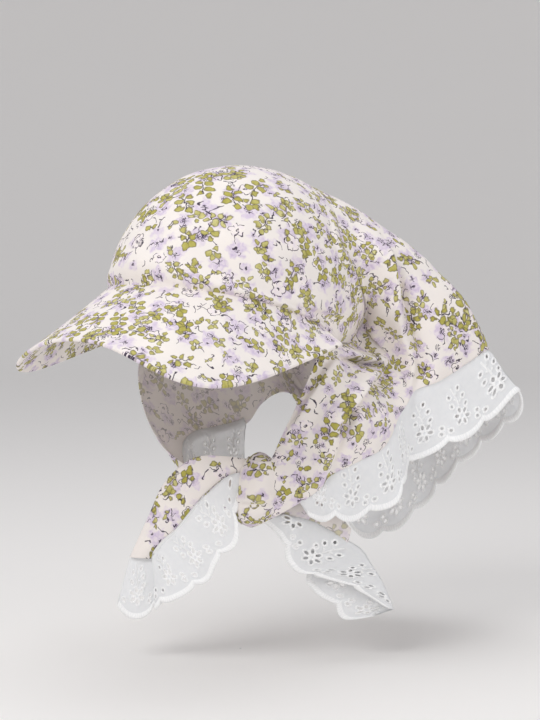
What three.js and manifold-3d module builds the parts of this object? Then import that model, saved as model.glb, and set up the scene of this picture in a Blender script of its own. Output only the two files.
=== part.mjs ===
// Bandana cap: a soft peaked cap whose back is a large kerchief, knotted at the throat.
// Millimetres, +Z up. The wearer faces -Y and +X is the wearer's left.
// The origin is the middle of the head, at its widest level.
import * as THREE from 'three';
import Module from 'manifold-3d';

const wasm = await Module();
wasm.setup();

// Driving sizes
const HEAD = new THREE.Vector3(86, 108, 91); // half width, half length and height of the dome
const CLOTH = 1.6; // wall of one layer of cotton
const PEAK_THICKNESS = 3; // cotton over a stiff core
const GAP = 0.5; // between pieces that are sewn together
const BROW_HEADING = 98; // degrees from the front to each end of the brow seam
const BROW_FRONT = 5; // height of the brow seam in front
const BROW_SIDE = -36; // height of the brow seam at its ends
const BROW_POWER = 2.4; // how late the brow seam dips

const PEAK_HEADING = 86; // degrees from the front to each end of the peak
const PEAK_HALF = 102; // half width of the peak
const PEAK_FRONT = 170; // how far in front of the origin the peak reaches
const PEAK_POWER = 4; // squareness of its outline
const PEAK_CREST = -29; // height of its edge in front
const PEAK_CORNER = -79; // height of its edge at the corners
const PEAK_END = -37; // height of its edge where it meets the head
const PEAK_ARCH = 2.2; // how late the edge drops to the corners
const PEAK_RISE = 0.8; // how soon it rises again towards its ends
const PEAK_CROWN = -1; // rise of the peak between the seam and its edge

const RIB_HANDLE = 0.25; // share of a rib's length that it follows the crown's slope
const HEM_HANDLE = 0.4; // share of a rib's length that it bulges over before the hem
const RIB_TURN = 0.2; // how far round the rear seam's ends its ribs turn from the straps' way
const STRAP_LIFT = 0.2; // share of the head's slope that the straps' folds keep
const FOLDS_END = 1.8; // where along the kerchief the soft folds stop
const FOLD_EASE = 0.8; // how soon a soft fold rises
const FOLD_OPENING = 0.6; // how much a soft fold opens over the trim
const TRIM_SCALLOP = 30; // length of one scallop of the eyelet trim
const SCALLOP_DIP = 0.12; // share of the trim's width that a dip takes
const SCALLOP_POWER = 0.6; // roundness of a scallop
const RUFFLE_HEIGHT = 4; // wave of the trim's free edge
const RUFFLE_LENGTH = 62;
const PETALS = 5; // holes round one eyelet flower
const PETAL_LENGTH = 5.5;
const PETAL_WIDTH = 4;
const PETAL_RING = 6.5; // radius of the ring of holes
const FLOWER_AT = 0.6; // how far across the trim the flowers stand
const HOLE_REACH = 3 * CLOTH; // how far a hole's cutter goes through the cloth each way
const TIE_ARCH = 1.5; // how far a tie end bows between its edges
const TIE_BACK_ARCH = -1; // the same of its back layer

const SEAM_ROOM = 0.6 * GAP; // room round the crown that the kerchief keeps clear

const FACES = {
  crownAcross: 28,
  crownAlong: 7,
  peakAcross: 32,
  peakAlong: 4,
  kerchief: 5,
  strapEnd: 4,
  nape: 8,
  trim: 2,
  perScallop: 4,
  knot: 14,
  tieAlong: 2,
  tieAcross: 4,
};

// Each table has named columns. The kerchief runs from the right end of its long edge, at -2,
// over the head, where it is sewn to the crown between -1 and 1, to the left end, at 2.
const REAR_SEAM = table('at x y z', [
  [0.0, 0, 48, 82],
  [0.1, 32, 46, 76],
  [0.2, 57, 38, 58],
  [0.35, 75, 26, 37],
  [0.5, 79, 36, 17],
  [0.65, 77, 47, -1],
  [0.8, 68, 64, -19],
  [0.9, 64, 66, -34],
  [1.0, 70, 44, -41],
]);
const LEFT_STRAP = table('at x y z', [
  [1.15, 79, 14, -38.5],
  [1.3, 85, -9, -43],
  [1.5, 76, -21, -75],
  [1.7, 70, -27, -93],
  [1.85, 60, -33, -112],
  [2.0, 50, -37, -127],
]);
const RIGHT_STRAP = table('at x y z', [
  [-2.0, 36, -33, -139],
  [-1.85, -4, -35, -137],
  [-1.7, -44, -36, -121],
  [-1.5, -73, -34, -77],
  [-1.3, -85, -12, -44],
  [-1.15, -79, 14, -38.5],
]);
const LONG_EDGE = [...RIGHT_STRAP, ...mirrored(REAR_SEAM), ...REAR_SEAM, ...LEFT_STRAP];

// The hem is where the trim is sewn on, and the edge is where the trim ends.
const RIBS = table('at hemX hemY hemZ edgeX edgeY edgeZ bulge', [
  [-2.0, 38, -31, -160, 38, -30, -170, 1],
  [-1.85, 4, -29, -160, 6, -26, -178, 2],
  [-1.7, -24, -24, -146, -12, -20, -172, 3],
  [-1.5, -42, -14, -126, -26, -18, -160, 4],
  [-1.3, -51, 8, -119, -36, 0, -152, 5],
  [-1.15, -54, 41, -117, -42, 31, -153, 5],
  [-1.06, -51, 68, -112, -48, 60, -148, 4],
  [-0.98, -44, 79, -96, -42, 82, -120, 4],
  [-0.92, -33, 92, -88, -32, 95, -110, 5],
  [-0.86, -24, 114, -104, -24, 118, -130, 8],
  [-0.8, -12, 136, -150, -15, 141, -190, 10],
  [-0.7, 5, 152, -168, 5, 158, -212, 12],
  [-0.55, 27, 164, -150, 33, 176, -193, 13],
  [-0.4, 48, 165, -127, 57, 176, -170, 13],
  [-0.25, 69, 163, -105, 82, 175, -147, 13],
  [-0.1, 95, 158, -86, 108, 170, -126, 13],
  [0.05, 121, 149, -66, 140, 166, -104, 12],
  [0.2, 131, 131, -50, 149, 151, -82, 12],
  [0.4, 128, 115, -57, 143, 125, -103, 12],
  [0.65, 119, 92, -69, 128, 99, -117, 11],
  [0.85, 107, 69, -79, 113, 73, -129, 10],
  [1.0, 111, 49, -96, 117, 49, -141, 10],
  [1.15, 112, 32, -113, 118, 35, -157, 9],
  [1.3, 105, 13, -122, 107, 11, -166, 7],
  [1.5, 93, -5, -132, 95, -7, -166, 5],
  [1.7, 82, -17, -147, 85, -15, -166, 3],
  [1.85, 70, -27, -156, 74, -24, -166, 2],
  [2.0, 60, -34, -153, 62, -32, -160, 1],
]);

// Soft folds of the kerchief: where they start on the long edge and how far they lean
const FOLDS = table('at lean width height', [
  [0.45, 0.42, 0.06, 6],
  [0.15, 0.02, 0.1, 4],
  [1.02, 0.28, 0.07, 6],
  [1.22, 0.3, 0.06, 4],
  [-0.1, 0.05, 0.09, 6],
  [-0.35, 0.0, 0.08, 6],
  [-0.6, -0.05, 0.06, 6],
]);

// Where each trim starts and ends along the kerchief
const TRIMS = table('name from to', [
  ['trim_right', -1.75, -1.06],
  ['trim_back', -0.78, 0.145],
  ['trim_left', 0.15, 1.75],
]);

// The tie ends hang in a plane turned by this many degrees, so that a place on them is a
// distance across, a distance towards the front left, and a height.
const TIE_TURN = 40;
const TIE_ROLL = new THREE.Vector3(0.5, -5, -0.5); // from a tie's front layer round its fold to the back one
const KNOT = table('height across toward halfWidth halfDepth', [
  [-117, 15, 55, 5, 6],
  [-123, 15, 56, 9, 10],
  [-133, 14, 57, 12, 13],
  [-146, 13, 57, 13, 14],
  [-159, 12, 56, 13, 13],
  [-167, 10, 54, 10, 10],
  [-172, 9, 53, 5, 5],
]);
const LEFT_END = table('ax at az bx bt bz', [
  [14, 55, -123, 14, 57, -130],
  [-13, 52, -120, -8, 57, -134],
  [-31, 50, -121, -25, 58, -147],
  [-45, 46, -130, -36, 56, -160],
  [-57, 43, -144, -47, 52, -174],
  [-66, 41, -164, -56, 49, -182],
  [-76, 40, -186, -63, 46, -191],
  [-81, 40, -197, -65, 44, -197],
]);
const LEFT_END_TRIM = table('ax at az bx bt bz', [
  [13, 59, -130, 13, 60, -137],
  [-7, 60, -133, 1, 63, -149],
  [-24, 62, -147, 1, 66, -170],
  [-35, 60, -160, -3, 66, -186],
  [-46, 56, -174, -16, 63, -199],
  [-55, 53, -183, -24, 60, -214],
  [-62, 51, -191, -42, 58, -222],
  [-65, 48, -200, -58, 54, -235],
  [-68, 44, -200, -66, 47, -240],
  [-74, 42, -200, -76, 43, -242],
  [-81, 40, -200, -92, 38, -238],
]);
const RIGHT_END = table('ax at az bx bt bz', [
  [16, 52, -155, 22, 53, -146],
  [34, 51, -158, 40, 52, -149],
  [49, 51, -162, 56, 52, -153],
  [63, 51, -169, 72, 51, -163],
  [76, 50, -178, 81, 50, -173],
]);
const RIGHT_END_TRIM = table('ax at az bx bt bz cx ct cz', [
  [12, 52, -166, 20, 55, -160, 14, 44, -164],
  [27, 51, -177, 50, 55, -166, 34, 42, -174],
  [31, 50, -191, 65, 55, -173, 42, 41, -187],
  [37, 50, -201, 79, 53, -182, 45, 40, -199],
  [45, 50, -208, 90, 50, -190, 46, 40, -213],
  [63, 50, -211, 97, 49, -201, 55, 40, -222],
  [79, 48, -217, 105, 46, -214, 67, 39, -234],
  [94, 46, -224, 111, 44, -228, 77, 37, -244],
  [105, 44, -232, 114, 42, -236, 94, 36, -244],
]);
// Flowers of the tie ends: how far along and how far across each stands
const LEFT_FLOWERS = table('along across', [
  [0.36, 0.62],
  [0.56, 0.66],
  [0.93, 0.62],
]);
const RIGHT_FLOWERS = table('along across', [
  [0.34, 0.18],
  [0.6, 0.2],
]);

const PRINTED = { color: 0xd9d2cf, roughness: 0.85, metalness: 0 };
const EYELET = { color: 0xf3f4f6, roughness: 0.9, metalness: 0 };

// Tables and curves
function table(columns, rows) {
  const names = columns.split(' ');
  return rows.map((row) => Object.fromEntries(names.map((name, k) => [name, row[k]])));
}

function mirrored(rows) {
  const right = rows.filter((row) => row.at > 0).reverse();
  return right.map((row) => ({ ...row, at: -row.at, x: -row.x }));
}

function smooth(rows, key, at, column) {
  const last = rows.length - 1;
  let k = rows.findIndex((row) => row[key] > at) - 1;
  if (k < 0) k = at <= rows[0][key] ? 0 : last - 1;
  const slope = (i) => {
    const before = rows[Math.max(i - 1, 0)];
    const after = rows[Math.min(i + 1, last)];
    return (after[column] - before[column]) / (after[key] - before[key]);
  };
  const span = rows[k + 1][key] - rows[k][key];
  const q = THREE.MathUtils.clamp((at - rows[k][key]) / span, 0, 1);
  const start = rows[k][column];
  const end = rows[k + 1][column];
  return (
    start * (1 + 2 * q) * (1 - q) ** 2 +
    end * (3 - 2 * q) * q ** 2 +
    span * (slope(k) * q * (1 - q) ** 2 - slope(k + 1) * q ** 2 * (1 - q))
  );
}

const smoothPoint = (rows, key, at, columns) =>
  new THREE.Vector3(...columns.map((column) => smooth(rows, key, at, column)));

// The head
const onHead = (v) => v.clone().divide(HEAD).normalize().multiply(HEAD);
const headNormal = (v) => v.clone().divide(HEAD).divide(HEAD).normalize();

function browSeam(degrees) {
  const angle = THREE.MathUtils.degToRad(degrees);
  const z = BROW_FRONT + (BROW_SIDE - BROW_FRONT) * Math.abs(degrees / BROW_HEADING) ** BROW_POWER;
  const level = Math.sqrt(1 - (z / HEAD.z) ** 2);
  return new THREE.Vector3(HEAD.x * Math.sin(angle) * level, -HEAD.y * Math.cos(angle) * level, z);
}

function longEdge(at) {
  const point = smoothPoint(LONG_EDGE, 'at', at, ['x', 'y', 'z']);
  return Math.abs(at) <= 1 ? onHead(point) : point;
}

function crownPoint(u, v) {
  const from = browSeam(u * BROW_HEADING).divide(HEAD).normalize();
  const to = longEdge(u).divide(HEAD).normalize();
  const angle = from.angleTo(to);
  const a = Math.sin((1 - v) * angle) / Math.sin(angle);
  const b = Math.sin(v * angle) / Math.sin(angle);
  return from.multiplyScalar(a).addScaledVector(to, b).multiply(HEAD);
}

// The peak
function peakEdge(u) {
  const angle = (Math.PI / 2) * THREE.MathUtils.smoothstep(Math.abs(u), 0, 1);
  const backY = -HEAD.y * Math.cos(THREE.MathUtils.degToRad(PEAK_HEADING));
  const side = Math.sin(angle) ** (2 / PEAK_POWER);
  const reach = Math.max(Math.cos(angle), 0) ** (2 / PEAK_POWER);
  const arch = side ** PEAK_ARCH;
  const drop = PEAK_CREST + (PEAK_CORNER - PEAK_CREST) * arch;
  return new THREE.Vector3(
    PEAK_HALF * Math.sign(u) * side,
    backY - (PEAK_FRONT + backY) * reach,
    drop + (PEAK_END - PEAK_CORNER) * (1 - reach) ** PEAK_RISE * arch,
  );
}

function peakPoint(u, v) {
  const seam = browSeam(u * PEAK_HEADING);
  const from = seam.clone().addScaledVector(headNormal(seam), CLOTH / 2 + GAP);
  const point = from.lerp(peakEdge(u), v);
  point.z += PEAK_CROWN * Math.sin(Math.PI * v) * Math.cos((u * Math.PI) / 2);
  return point;
}

// The kerchief, from its long edge (across 0) to the hem (across 1) and on to the trim's edge (2)
function foldHeight(at, across) {
  const opening = FOLD_OPENING * across ** 2 * (2 - across);
  const rise = Math.sin(Math.PI * Math.min(across, 1) ** FOLD_EASE) + opening;
  return FOLDS.reduce((sum, fold) => {
    const away = (at - fold.at - fold.lean * across) / fold.width;
    return sum + fold.height * Math.exp(-away * away) * rise;
  }, 0);
}

// A rib leaves the crown along its surface, and a strap's rib leaves straight for the hem
function ribStart(at, from, hem) {
  const direct = hem.clone().sub(from).normalize();
  if (Math.abs(at) >= 1) return direct;
  const justBefore = 0.98;
  const along = from.clone().sub(crownPoint(at, justBefore)).normalize();
  return direct.lerp(along, THREE.MathUtils.smoothstep(1 - Math.abs(at), 0, RIB_TURN)).normalize();
}

function kerchiefPoint(at, across) {
  const from = longEdge(at);
  const hem = smoothPoint(RIBS, 'at', at, ['hemX', 'hemY', 'hemZ']);
  const edge = smoothPoint(RIBS, 'at', at, ['edgeX', 'edgeY', 'edgeZ']);
  const out = headNormal(from);
  out.z *= Math.abs(at) > 1 ? STRAP_LIFT : 1;
  out.normalize();
  const length = from.distanceTo(hem);
  const first = from.clone().addScaledVector(ribStart(at, from, hem), RIB_HANDLE * length);
  const second = hem.clone().lerp(from, HEM_HANDLE).addScaledVector(out, 2 * smooth(RIBS, 'at', at, 'bulge'));
  const point = new THREE.CubicBezierCurve3(from, first, second, hem).getPoint(Math.min(across, 1));
  if (across > 1) point.lerp(edge, across - 1);
  return point.addScaledVector(out, Math.abs(at) < FOLDS_END ? foldHeight(at, across) : 0);
}

function kerchiefNormal(at, across) {
  const step = 0.01;
  const alongStep = kerchiefPoint(at + step, across).sub(kerchiefPoint(at - step, across));
  const from = kerchiefPoint(at, Math.max(across - step, 0));
  const acrossStep = kerchiefPoint(at, across + step).sub(from);
  return acrossStep.cross(alongStep).normalize();
}

// Lengths along the hem, so that scallops are even
const HEM_STEPS = 800;
const hemTable = [];
for (let k = 0, length = 0, before = null; k <= HEM_STEPS; k += 1) {
  const at = -2 + (4 * k) / HEM_STEPS;
  const point = kerchiefPoint(at, 1);
  length += before ? point.distanceTo(before) : 0;
  before = point;
  hemTable.push({ at, length });
}

const hemLength = (at) => smooth(hemTable, 'at', at, 'length');
const hemPlace = (length) => smooth(hemTable, 'length', length, 'at');

function trimColumns(trim) {
  const start = hemLength(trim.from);
  const whole = hemLength(trim.to) - start;
  const scallops = Math.round(whole / TRIM_SCALLOP);
  const count = scallops * FACES.perScallop;
  return Array.from({ length: count + 1 }, (_, k) => ({
    at: hemPlace(start + (whole * k) / count),
    phase: (scallops * k) / count,
  }));
}

function plainColumns(from, to, count) {
  return Array.from({ length: count + 1 }, (_, k) => ({ at: from + ((to - from) * k) / count, phase: 0 }));
}

// Bodies
function closedSheet(points, normals, thickness) {
  const across = points[0].length;
  const positions = [];
  [0.5, -0.5].forEach((side) => {
    points.forEach((row, i) => {
      row.forEach((point, j) => {
        const moved = point.clone().addScaledVector(normals[i][j], thickness * side);
        positions.push(moved.x, moved.y, moved.z);
      });
    });
  });
  const rows = points.length;
  const other = rows * across;
  const triangles = [];
  const quad = (a, b, c, d) => triangles.push(a, b, c, a, c, d);
  for (let i = 0; i + 1 < rows; i += 1) {
    for (let j = 0; j + 1 < across; j += 1) {
      const k = i * across + j;
      quad(k, k + across, k + across + 1, k + 1);
      quad(other + k, other + k + 1, other + k + across + 1, other + k + across);
    }
    const first = i * across;
    const last = first + across - 1;
    quad(first, other + first, other + first + across, first + across);
    quad(last, last + across, other + last + across, other + last);
  }
  for (let j = 0; j + 1 < across; j += 1) {
    const end = (rows - 1) * across + j;
    quad(j, j + 1, other + j + 1, other + j);
    quad(end, other + end, other + end + 1, end + 1);
  }
  return facingOut(positions, triangles);
}

function closedLoft(rings) {
  const around = rings[0].length;
  const positions = rings.flat().flatMap((point) => [point.x, point.y, point.z]);
  const triangles = [];
  for (let i = 0; i + 1 < rings.length; i += 1) {
    for (let j = 0; j < around; j += 1) {
      const k = i * around + j;
      const next = i * around + ((j + 1) % around);
      triangles.push(k, next, next + around, k, next + around, k + around);
    }
  }
  [0, rings.length - 1].forEach((i) => {
    for (let j = 1; j + 1 < around; j += 1) {
      const fan = [i * around, i * around + j, i * around + j + 1];
      triangles.push(...(i === 0 ? fan.reverse() : fan));
    }
  });
  return facingOut(positions, triangles);
}

function facingOut(positions, triangles) {
  const corner = (k) => new THREE.Vector3().fromArray(positions, 3 * k);
  let volume = 0;
  for (let k = 0; k < triangles.length; k += 3) {
    const [a, b, c] = [corner(triangles[k]), corner(triangles[k + 1]), corner(triangles[k + 2])];
    volume += a.dot(b.cross(c));
  }
  if (volume < 0) {
    for (let k = 0; k < triangles.length; k += 3) {
      [triangles[k], triangles[k + 1]] = [triangles[k + 1], triangles[k]];
    }
  }
  const vertProperties = new Float32Array(positions);
  const triVerts = new Uint32Array(triangles);
  return new wasm.Manifold(new wasm.Mesh({ numProp: 3, vertProperties, triVerts }));
}

function meshOf(name, solid, finish) {
  const { vertProperties, triVerts } = solid.getMesh();
  const geometry = new THREE.BufferGeometry();
  geometry.setAttribute('position', new THREE.BufferAttribute(new Float32Array(vertProperties), 3));
  geometry.setIndex(new THREE.BufferAttribute(new Uint32Array(triVerts), 1));
  const mesh = new THREE.Mesh(geometry, new THREE.MeshStandardMaterial(finish));
  mesh.name = name;
  return mesh;
}

// One eyelet flower: a ring of pointed oval holes through the cloth
function cutFlower(solid, centre, normal) {
  const side = new THREE.Vector3(0, 0, 1).cross(normal).normalize();
  const up = normal.clone().cross(side);
  const turned = (angle) => side.clone().multiplyScalar(Math.cos(angle)).addScaledVector(up, Math.sin(angle));
  let left = solid;
  for (let k = 0; k < PETALS; k += 1) {
    const angle = (2 * Math.PI * k) / PETALS + Math.PI / 2;
    const outward = turned(angle);
    const sideways = turned(angle + Math.PI / 2);
    const middle = centre.clone().addScaledVector(outward, PETAL_RING);
    const corners = [
      middle.clone().addScaledVector(outward, PETAL_LENGTH / 2),
      middle.clone().addScaledVector(sideways, PETAL_WIDTH / 2),
      middle.clone().addScaledVector(outward, -PETAL_LENGTH / 2),
      middle.clone().addScaledVector(sideways, -PETAL_WIDTH / 2),
    ];
    const rings = [-1, 1].map((end) =>
      corners.map((corner) => corner.clone().addScaledVector(normal, end * HOLE_REACH)),
    );
    left = left.subtract(closedLoft(rings));
  }
  return left;
}

// Crown, or the room that it and the seams round it take
function crown(grown) {
  const points = [];
  const normals = [];
  for (let i = 0; i <= FACES.crownAcross; i += 1) {
    const u = (2 * i) / FACES.crownAcross - 1;
    const length = crownPoint(u, 0).distanceTo(crownPoint(u, 1));
    const row = Array.from({ length: FACES.crownAlong + 1 }, (_, j) => {
      const v = j / FACES.crownAlong;
      return crownPoint(u, v + (grown / length) * (2 * v - 1));
    });
    points.push(row);
    normals.push(row.map(headNormal));
  }
  return closedSheet(points, normals, CLOTH + 2 * grown);
}

// Peak
function peak() {
  const points = [];
  const normals = [];
  const step = 0.002;
  for (let i = 0; i <= FACES.peakAcross; i += 1) {
    const u = (2 * i) / FACES.peakAcross - 1;
    const row = Array.from({ length: FACES.peakAlong + 1 }, (_, j) => peakPoint(u, j / FACES.peakAlong));
    points.push(row);
    normals.push(
      row.map((_, j) => {
        const v = j / FACES.peakAlong;
        if (j === 0) {
          const out = headNormal(browSeam(u * PEAK_HEADING));
          return new THREE.Vector3(0, 0, 1).addScaledVector(out, -out.z).normalize();
        }
        const inside = THREE.MathUtils.clamp(u, -1 + step, 1 - step);
        const alongStep = peakPoint(inside + step, v).sub(peakPoint(inside - step, v));
        const acrossStep = peakPoint(inside, v + step).sub(peakPoint(inside, v - step));
        const normal = alongStep.cross(acrossStep).normalize();
        return normal.z < 0 ? normal.negate() : normal;
      }),
    );
  }
  return closedSheet(points, normals, PEAK_THICKNESS);
}

// The crown's rear edge between its columns is straight, and the kerchief's edge follows it
function sewnEdge(at) {
  if (Math.abs(at) > 1) return longEdge(at);
  const place = ((at + 1) * FACES.crownAcross) / 2;
  const before = Math.min(Math.floor(place), FACES.crownAcross - 1);
  const edge = (column) => longEdge((2 * column) / FACES.crownAcross - 1);
  return edge(before).lerp(edge(before + 1), place - before);
}

// Kerchief and trims share their columns, so that the sewn edges follow each other
const [RIGHT, BACK, LEFT] = TRIMS.map(trimColumns);
const SEW_STEP = 0.05; // a little way across, to find the way that an edge leaves its seam

function kerchief() {
  const columns = [
    ...plainColumns(-2, TRIMS[0].from, FACES.strapEnd).slice(0, -1),
    ...RIGHT,
    ...plainColumns(TRIMS[0].to, TRIMS[1].from, FACES.nape).slice(1, -1),
    ...BACK,
    ...LEFT,
    ...plainColumns(TRIMS[2].to, 2, FACES.strapEnd).slice(1),
  ];
  const points = columns.map(({ at }) =>
    Array.from({ length: FACES.kerchief + 1 }, (_, j) => {
      const across = j / FACES.kerchief;
      const point = kerchiefPoint(at, across);
      if (j > 0) return point;
      const inward = kerchiefPoint(at, SEW_STEP).sub(point).normalize();
      return sewnEdge(at).addScaledVector(inward, GAP);
    }),
  );
  const normals = columns.map(({ at }) =>
    Array.from({ length: FACES.kerchief + 1 }, (_, j) => {
      const sewn = j === 0 && Math.abs(at) <= 1;
      return sewn ? headNormal(longEdge(at)) : kerchiefNormal(at, j / FACES.kerchief);
    }),
  );
  return closedSheet(points, normals, CLOTH);
}

function trimPoint(at, phase, share) {
  const scallop = 1 - SCALLOP_DIP * (1 - Math.abs(Math.sin(Math.PI * phase)) ** SCALLOP_POWER);
  const normal = kerchiefNormal(at, 1 + share);
  const wave = Math.sin((2 * Math.PI * hemLength(at)) / RUFFLE_LENGTH);
  const point = kerchiefPoint(at, 1 + share * scallop);
  return point.addScaledVector(normal, RUFFLE_HEIGHT * wave * share ** 2);
}

function trim(columns) {
  const points = columns.map(({ at, phase }) =>
    Array.from({ length: FACES.trim + 1 }, (_, j) => {
      const point = trimPoint(at, phase, j / FACES.trim);
      if (j > 0) return point;
      const outward = kerchiefPoint(at, 1 + 2 * SEW_STEP).sub(point).normalize();
      return point.addScaledVector(outward, GAP);
    }),
  );
  const normals = columns.map(({ at }) =>
    Array.from({ length: FACES.trim + 1 }, (_, j) => kerchiefNormal(at, 1 + j / FACES.trim)),
  );
  let solid = closedSheet(points, normals, CLOTH);
  for (let k = Math.floor(FACES.perScallop / 2); k + 1 < columns.length; k += FACES.perScallop) {
    const at = (columns[k].at + columns[k + 1].at) / 2;
    const phase = (columns[k].phase + columns[k + 1].phase) / 2;
    solid = cutFlower(solid, trimPoint(at, phase, FLOWER_AT), kerchiefNormal(at, 1 + FLOWER_AT));
  }
  return solid;
}

// Knot and tie ends, by distances across, towards the front left and up
function tiePlace(across, toward, height) {
  const turn = THREE.MathUtils.degToRad(TIE_TURN);
  return new THREE.Vector3(
    across * Math.cos(turn) + toward * Math.sin(turn),
    across * Math.sin(turn) - toward * Math.cos(turn),
    height,
  );
}

function knot(grown) {
  const rings = KNOT.map((row, k) => {
    const end = k === 0 ? grown : k === KNOT.length - 1 ? -grown : 0;
    return Array.from({ length: FACES.knot }, (_, j) => {
      const angle = (2 * Math.PI * j) / FACES.knot;
      const across = row.across + (row.halfWidth + grown) * Math.cos(angle);
      const toward = row.toward + (row.halfDepth + grown) * Math.sin(angle);
      return tiePlace(across, toward, row.height + end);
    });
  });
  return closedLoft(rings);
}

// A point of a tie end: along its rows, and across from edge a to edge b and round to edge c
function tiePoint(rows, along, across) {
  const numbered = rows.map((row, k) => ({ ...row, place: k / (rows.length - 1) }));
  const at = (columns) => smoothPoint(numbered, 'place', along, columns);
  const a = at(['ax', 'at', 'az']);
  const b = at(['bx', 'bt', 'bz']);
  const arched = (from, to, share, height) => {
    const place = from.clone().lerp(to, share);
    place.y += height * Math.sin(Math.PI * share);
    return place;
  };
  if (across <= 1) return arched(a, b, across, TIE_ARCH);
  return arched(b.clone().add(TIE_ROLL), at(['cx', 'ct', 'cz']), across - 1, TIE_BACK_ARCH);
}

function tieSheet(rows, layers) {
  const alongCount = (rows.length - 1) * FACES.tieAlong;
  const justPast = 1e-6;
  const spots = [];
  for (let layer = 0; layer < layers; layer += 1) {
    for (let j = 0; j <= FACES.tieAcross; j += 1) {
      spots.push(layer + j / FACES.tieAcross + (layer > 0 && j === 0 ? justPast : 0));
    }
  }
  const raw = (along, across) => {
    const place = tiePoint(rows, along, across);
    return tiePlace(place.x, place.y, place.z);
  };
  const points = [];
  for (let i = 0; i <= alongCount; i += 1) points.push(spots.map((across) => raw(i / alongCount, across)));
  return closedSheet(points, sheetNormals(points), CLOTH);
}

function sheetNormals(points) {
  const rows = points.length;
  const across = points[0].length;
  return points.map((row, i) =>
    row.map((_, j) => {
      const along = points[Math.min(i + 1, rows - 1)][j].clone().sub(points[Math.max(i - 1, 0)][j]);
      const side = row[Math.min(j + 1, across - 1)].clone().sub(row[Math.max(j - 1, 0)]);
      return along.cross(side).normalize();
    }),
  );
}

function cutTieFlowers(solid, rows, flowers) {
  let left = solid;
  flowers.forEach(({ along, across }) => {
    const place = (a, b) => {
      const point = tiePoint(rows, a, b);
      return tiePlace(point.x, point.y, point.z);
    };
    const centre = place(along, across);
    const step = 0.05;
    const down = place(along + step, across).sub(place(along - step, across));
    const side = place(along, across + step).sub(place(along, across - step));
    left = cutFlower(left, centre, down.cross(side).normalize());
  });
  return left;
}

// The whole cap. What meets the knot is cut back to it, so that it lies against it.
const knotSeat = knot(GAP);
const crownSeat = crown(SEAM_ROOM);
const largest = (solid) => solid.decompose().sort((a, b) => b.volume() - a.volume())[0];
const atKnot = (solid) => largest(solid.subtract(knotSeat));

const pieces = [
  ['crown', crown(0), PRINTED],
  ['peak', peak(), PRINTED],
  ['kerchief', largest(atKnot(kerchief()).subtract(crownSeat)), PRINTED],
  ['trim_right', trim(RIGHT), EYELET],
  ['trim_back', trim(BACK), EYELET],
  ['trim_left', trim(LEFT), EYELET],
  ['knot', knot(0), PRINTED],
  ['tie_end_left', atKnot(tieSheet(LEFT_END, 1)), PRINTED],
  ['tie_trim_left', cutTieFlowers(atKnot(tieSheet(LEFT_END_TRIM, 1)), LEFT_END_TRIM, LEFT_FLOWERS), EYELET],
  ['tie_end_right', atKnot(tieSheet(RIGHT_END, 1)), PRINTED],
  ['tie_trim_right', cutTieFlowers(atKnot(tieSheet(RIGHT_END_TRIM, 2)), RIGHT_END_TRIM, RIGHT_FLOWERS), EYELET],
];

const cap = new THREE.Group();
pieces.forEach(([name, solid, finish]) => cap.add(meshOf(name, solid, finish)));

export default cap;
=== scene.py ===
# Bandana cap: printed cotton with eyelet trim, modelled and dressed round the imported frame.
# The wearer faces -Y and +X is the wearer's left. Sizes in the tables are millimetres from the
# middle of the head, and Blender's own are metres.
import math

import bpy
import numpy as np
from bpy.props import FloatProperty, FloatVectorProperty, PointerProperty
from mathutils import Matrix, Vector, geometry


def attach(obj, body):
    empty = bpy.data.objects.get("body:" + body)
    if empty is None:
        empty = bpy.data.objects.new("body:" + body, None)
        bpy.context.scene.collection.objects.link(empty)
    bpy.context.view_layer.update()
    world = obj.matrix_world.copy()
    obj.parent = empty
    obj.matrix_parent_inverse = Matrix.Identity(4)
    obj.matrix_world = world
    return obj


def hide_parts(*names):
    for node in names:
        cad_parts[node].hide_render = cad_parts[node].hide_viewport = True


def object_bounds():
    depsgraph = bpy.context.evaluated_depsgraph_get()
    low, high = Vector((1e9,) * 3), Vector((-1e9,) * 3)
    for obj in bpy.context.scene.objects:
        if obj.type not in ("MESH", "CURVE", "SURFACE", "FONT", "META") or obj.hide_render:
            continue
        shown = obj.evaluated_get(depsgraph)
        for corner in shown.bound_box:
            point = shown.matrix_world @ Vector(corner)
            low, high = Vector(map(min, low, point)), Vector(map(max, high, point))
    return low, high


bl_info = {
    "name": "Bandana Cap",
    "version": (1, 0, 0),
    "blender": (4, 5, 0),
    "location": "View3D > Sidebar > Bandana Cap",
    "description": "Builds a peaked cap with a knotted kerchief back and eyelet trim",
    "category": "Add Mesh",
}

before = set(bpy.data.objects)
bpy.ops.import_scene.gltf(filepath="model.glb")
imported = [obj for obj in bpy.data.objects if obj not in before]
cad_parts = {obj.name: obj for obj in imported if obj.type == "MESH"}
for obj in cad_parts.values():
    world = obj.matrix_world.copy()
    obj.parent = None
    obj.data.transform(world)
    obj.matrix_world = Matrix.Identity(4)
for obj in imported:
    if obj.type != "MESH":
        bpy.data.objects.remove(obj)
CAD_BOX = [list(corner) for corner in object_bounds()]
MM = 0.001
TAU = 2 * math.pi


# Tables and curves
def table(columns, rows):
    """A table with named columns, each an array."""
    return dict(zip(columns.split(), np.array(rows, float).T))


def smooth(rows, key, at, column):
    """A column's value anywhere between its rows, on a smooth curve through them."""
    x = rows[key]
    y = rows[column]
    number = np.arange(len(x))
    before = np.maximum(number - 1, 0)
    after = np.minimum(number + 1, len(x) - 1)
    slope = (y[after] - y[before]) / (x[after] - x[before])
    k = np.clip(np.searchsorted(x, at, side="right") - 1, 0, len(x) - 2)
    span = x[k + 1] - x[k]
    q = np.clip((at - x[k]) / span, 0, 1)
    near = y[k] * (1 + 2 * q) * (1 - q) ** 2 + span * slope[k] * q * (1 - q) ** 2
    far = y[k + 1] * (3 - 2 * q) * q**2 - span * slope[k + 1] * q**2 * (1 - q)
    return near + far


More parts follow.
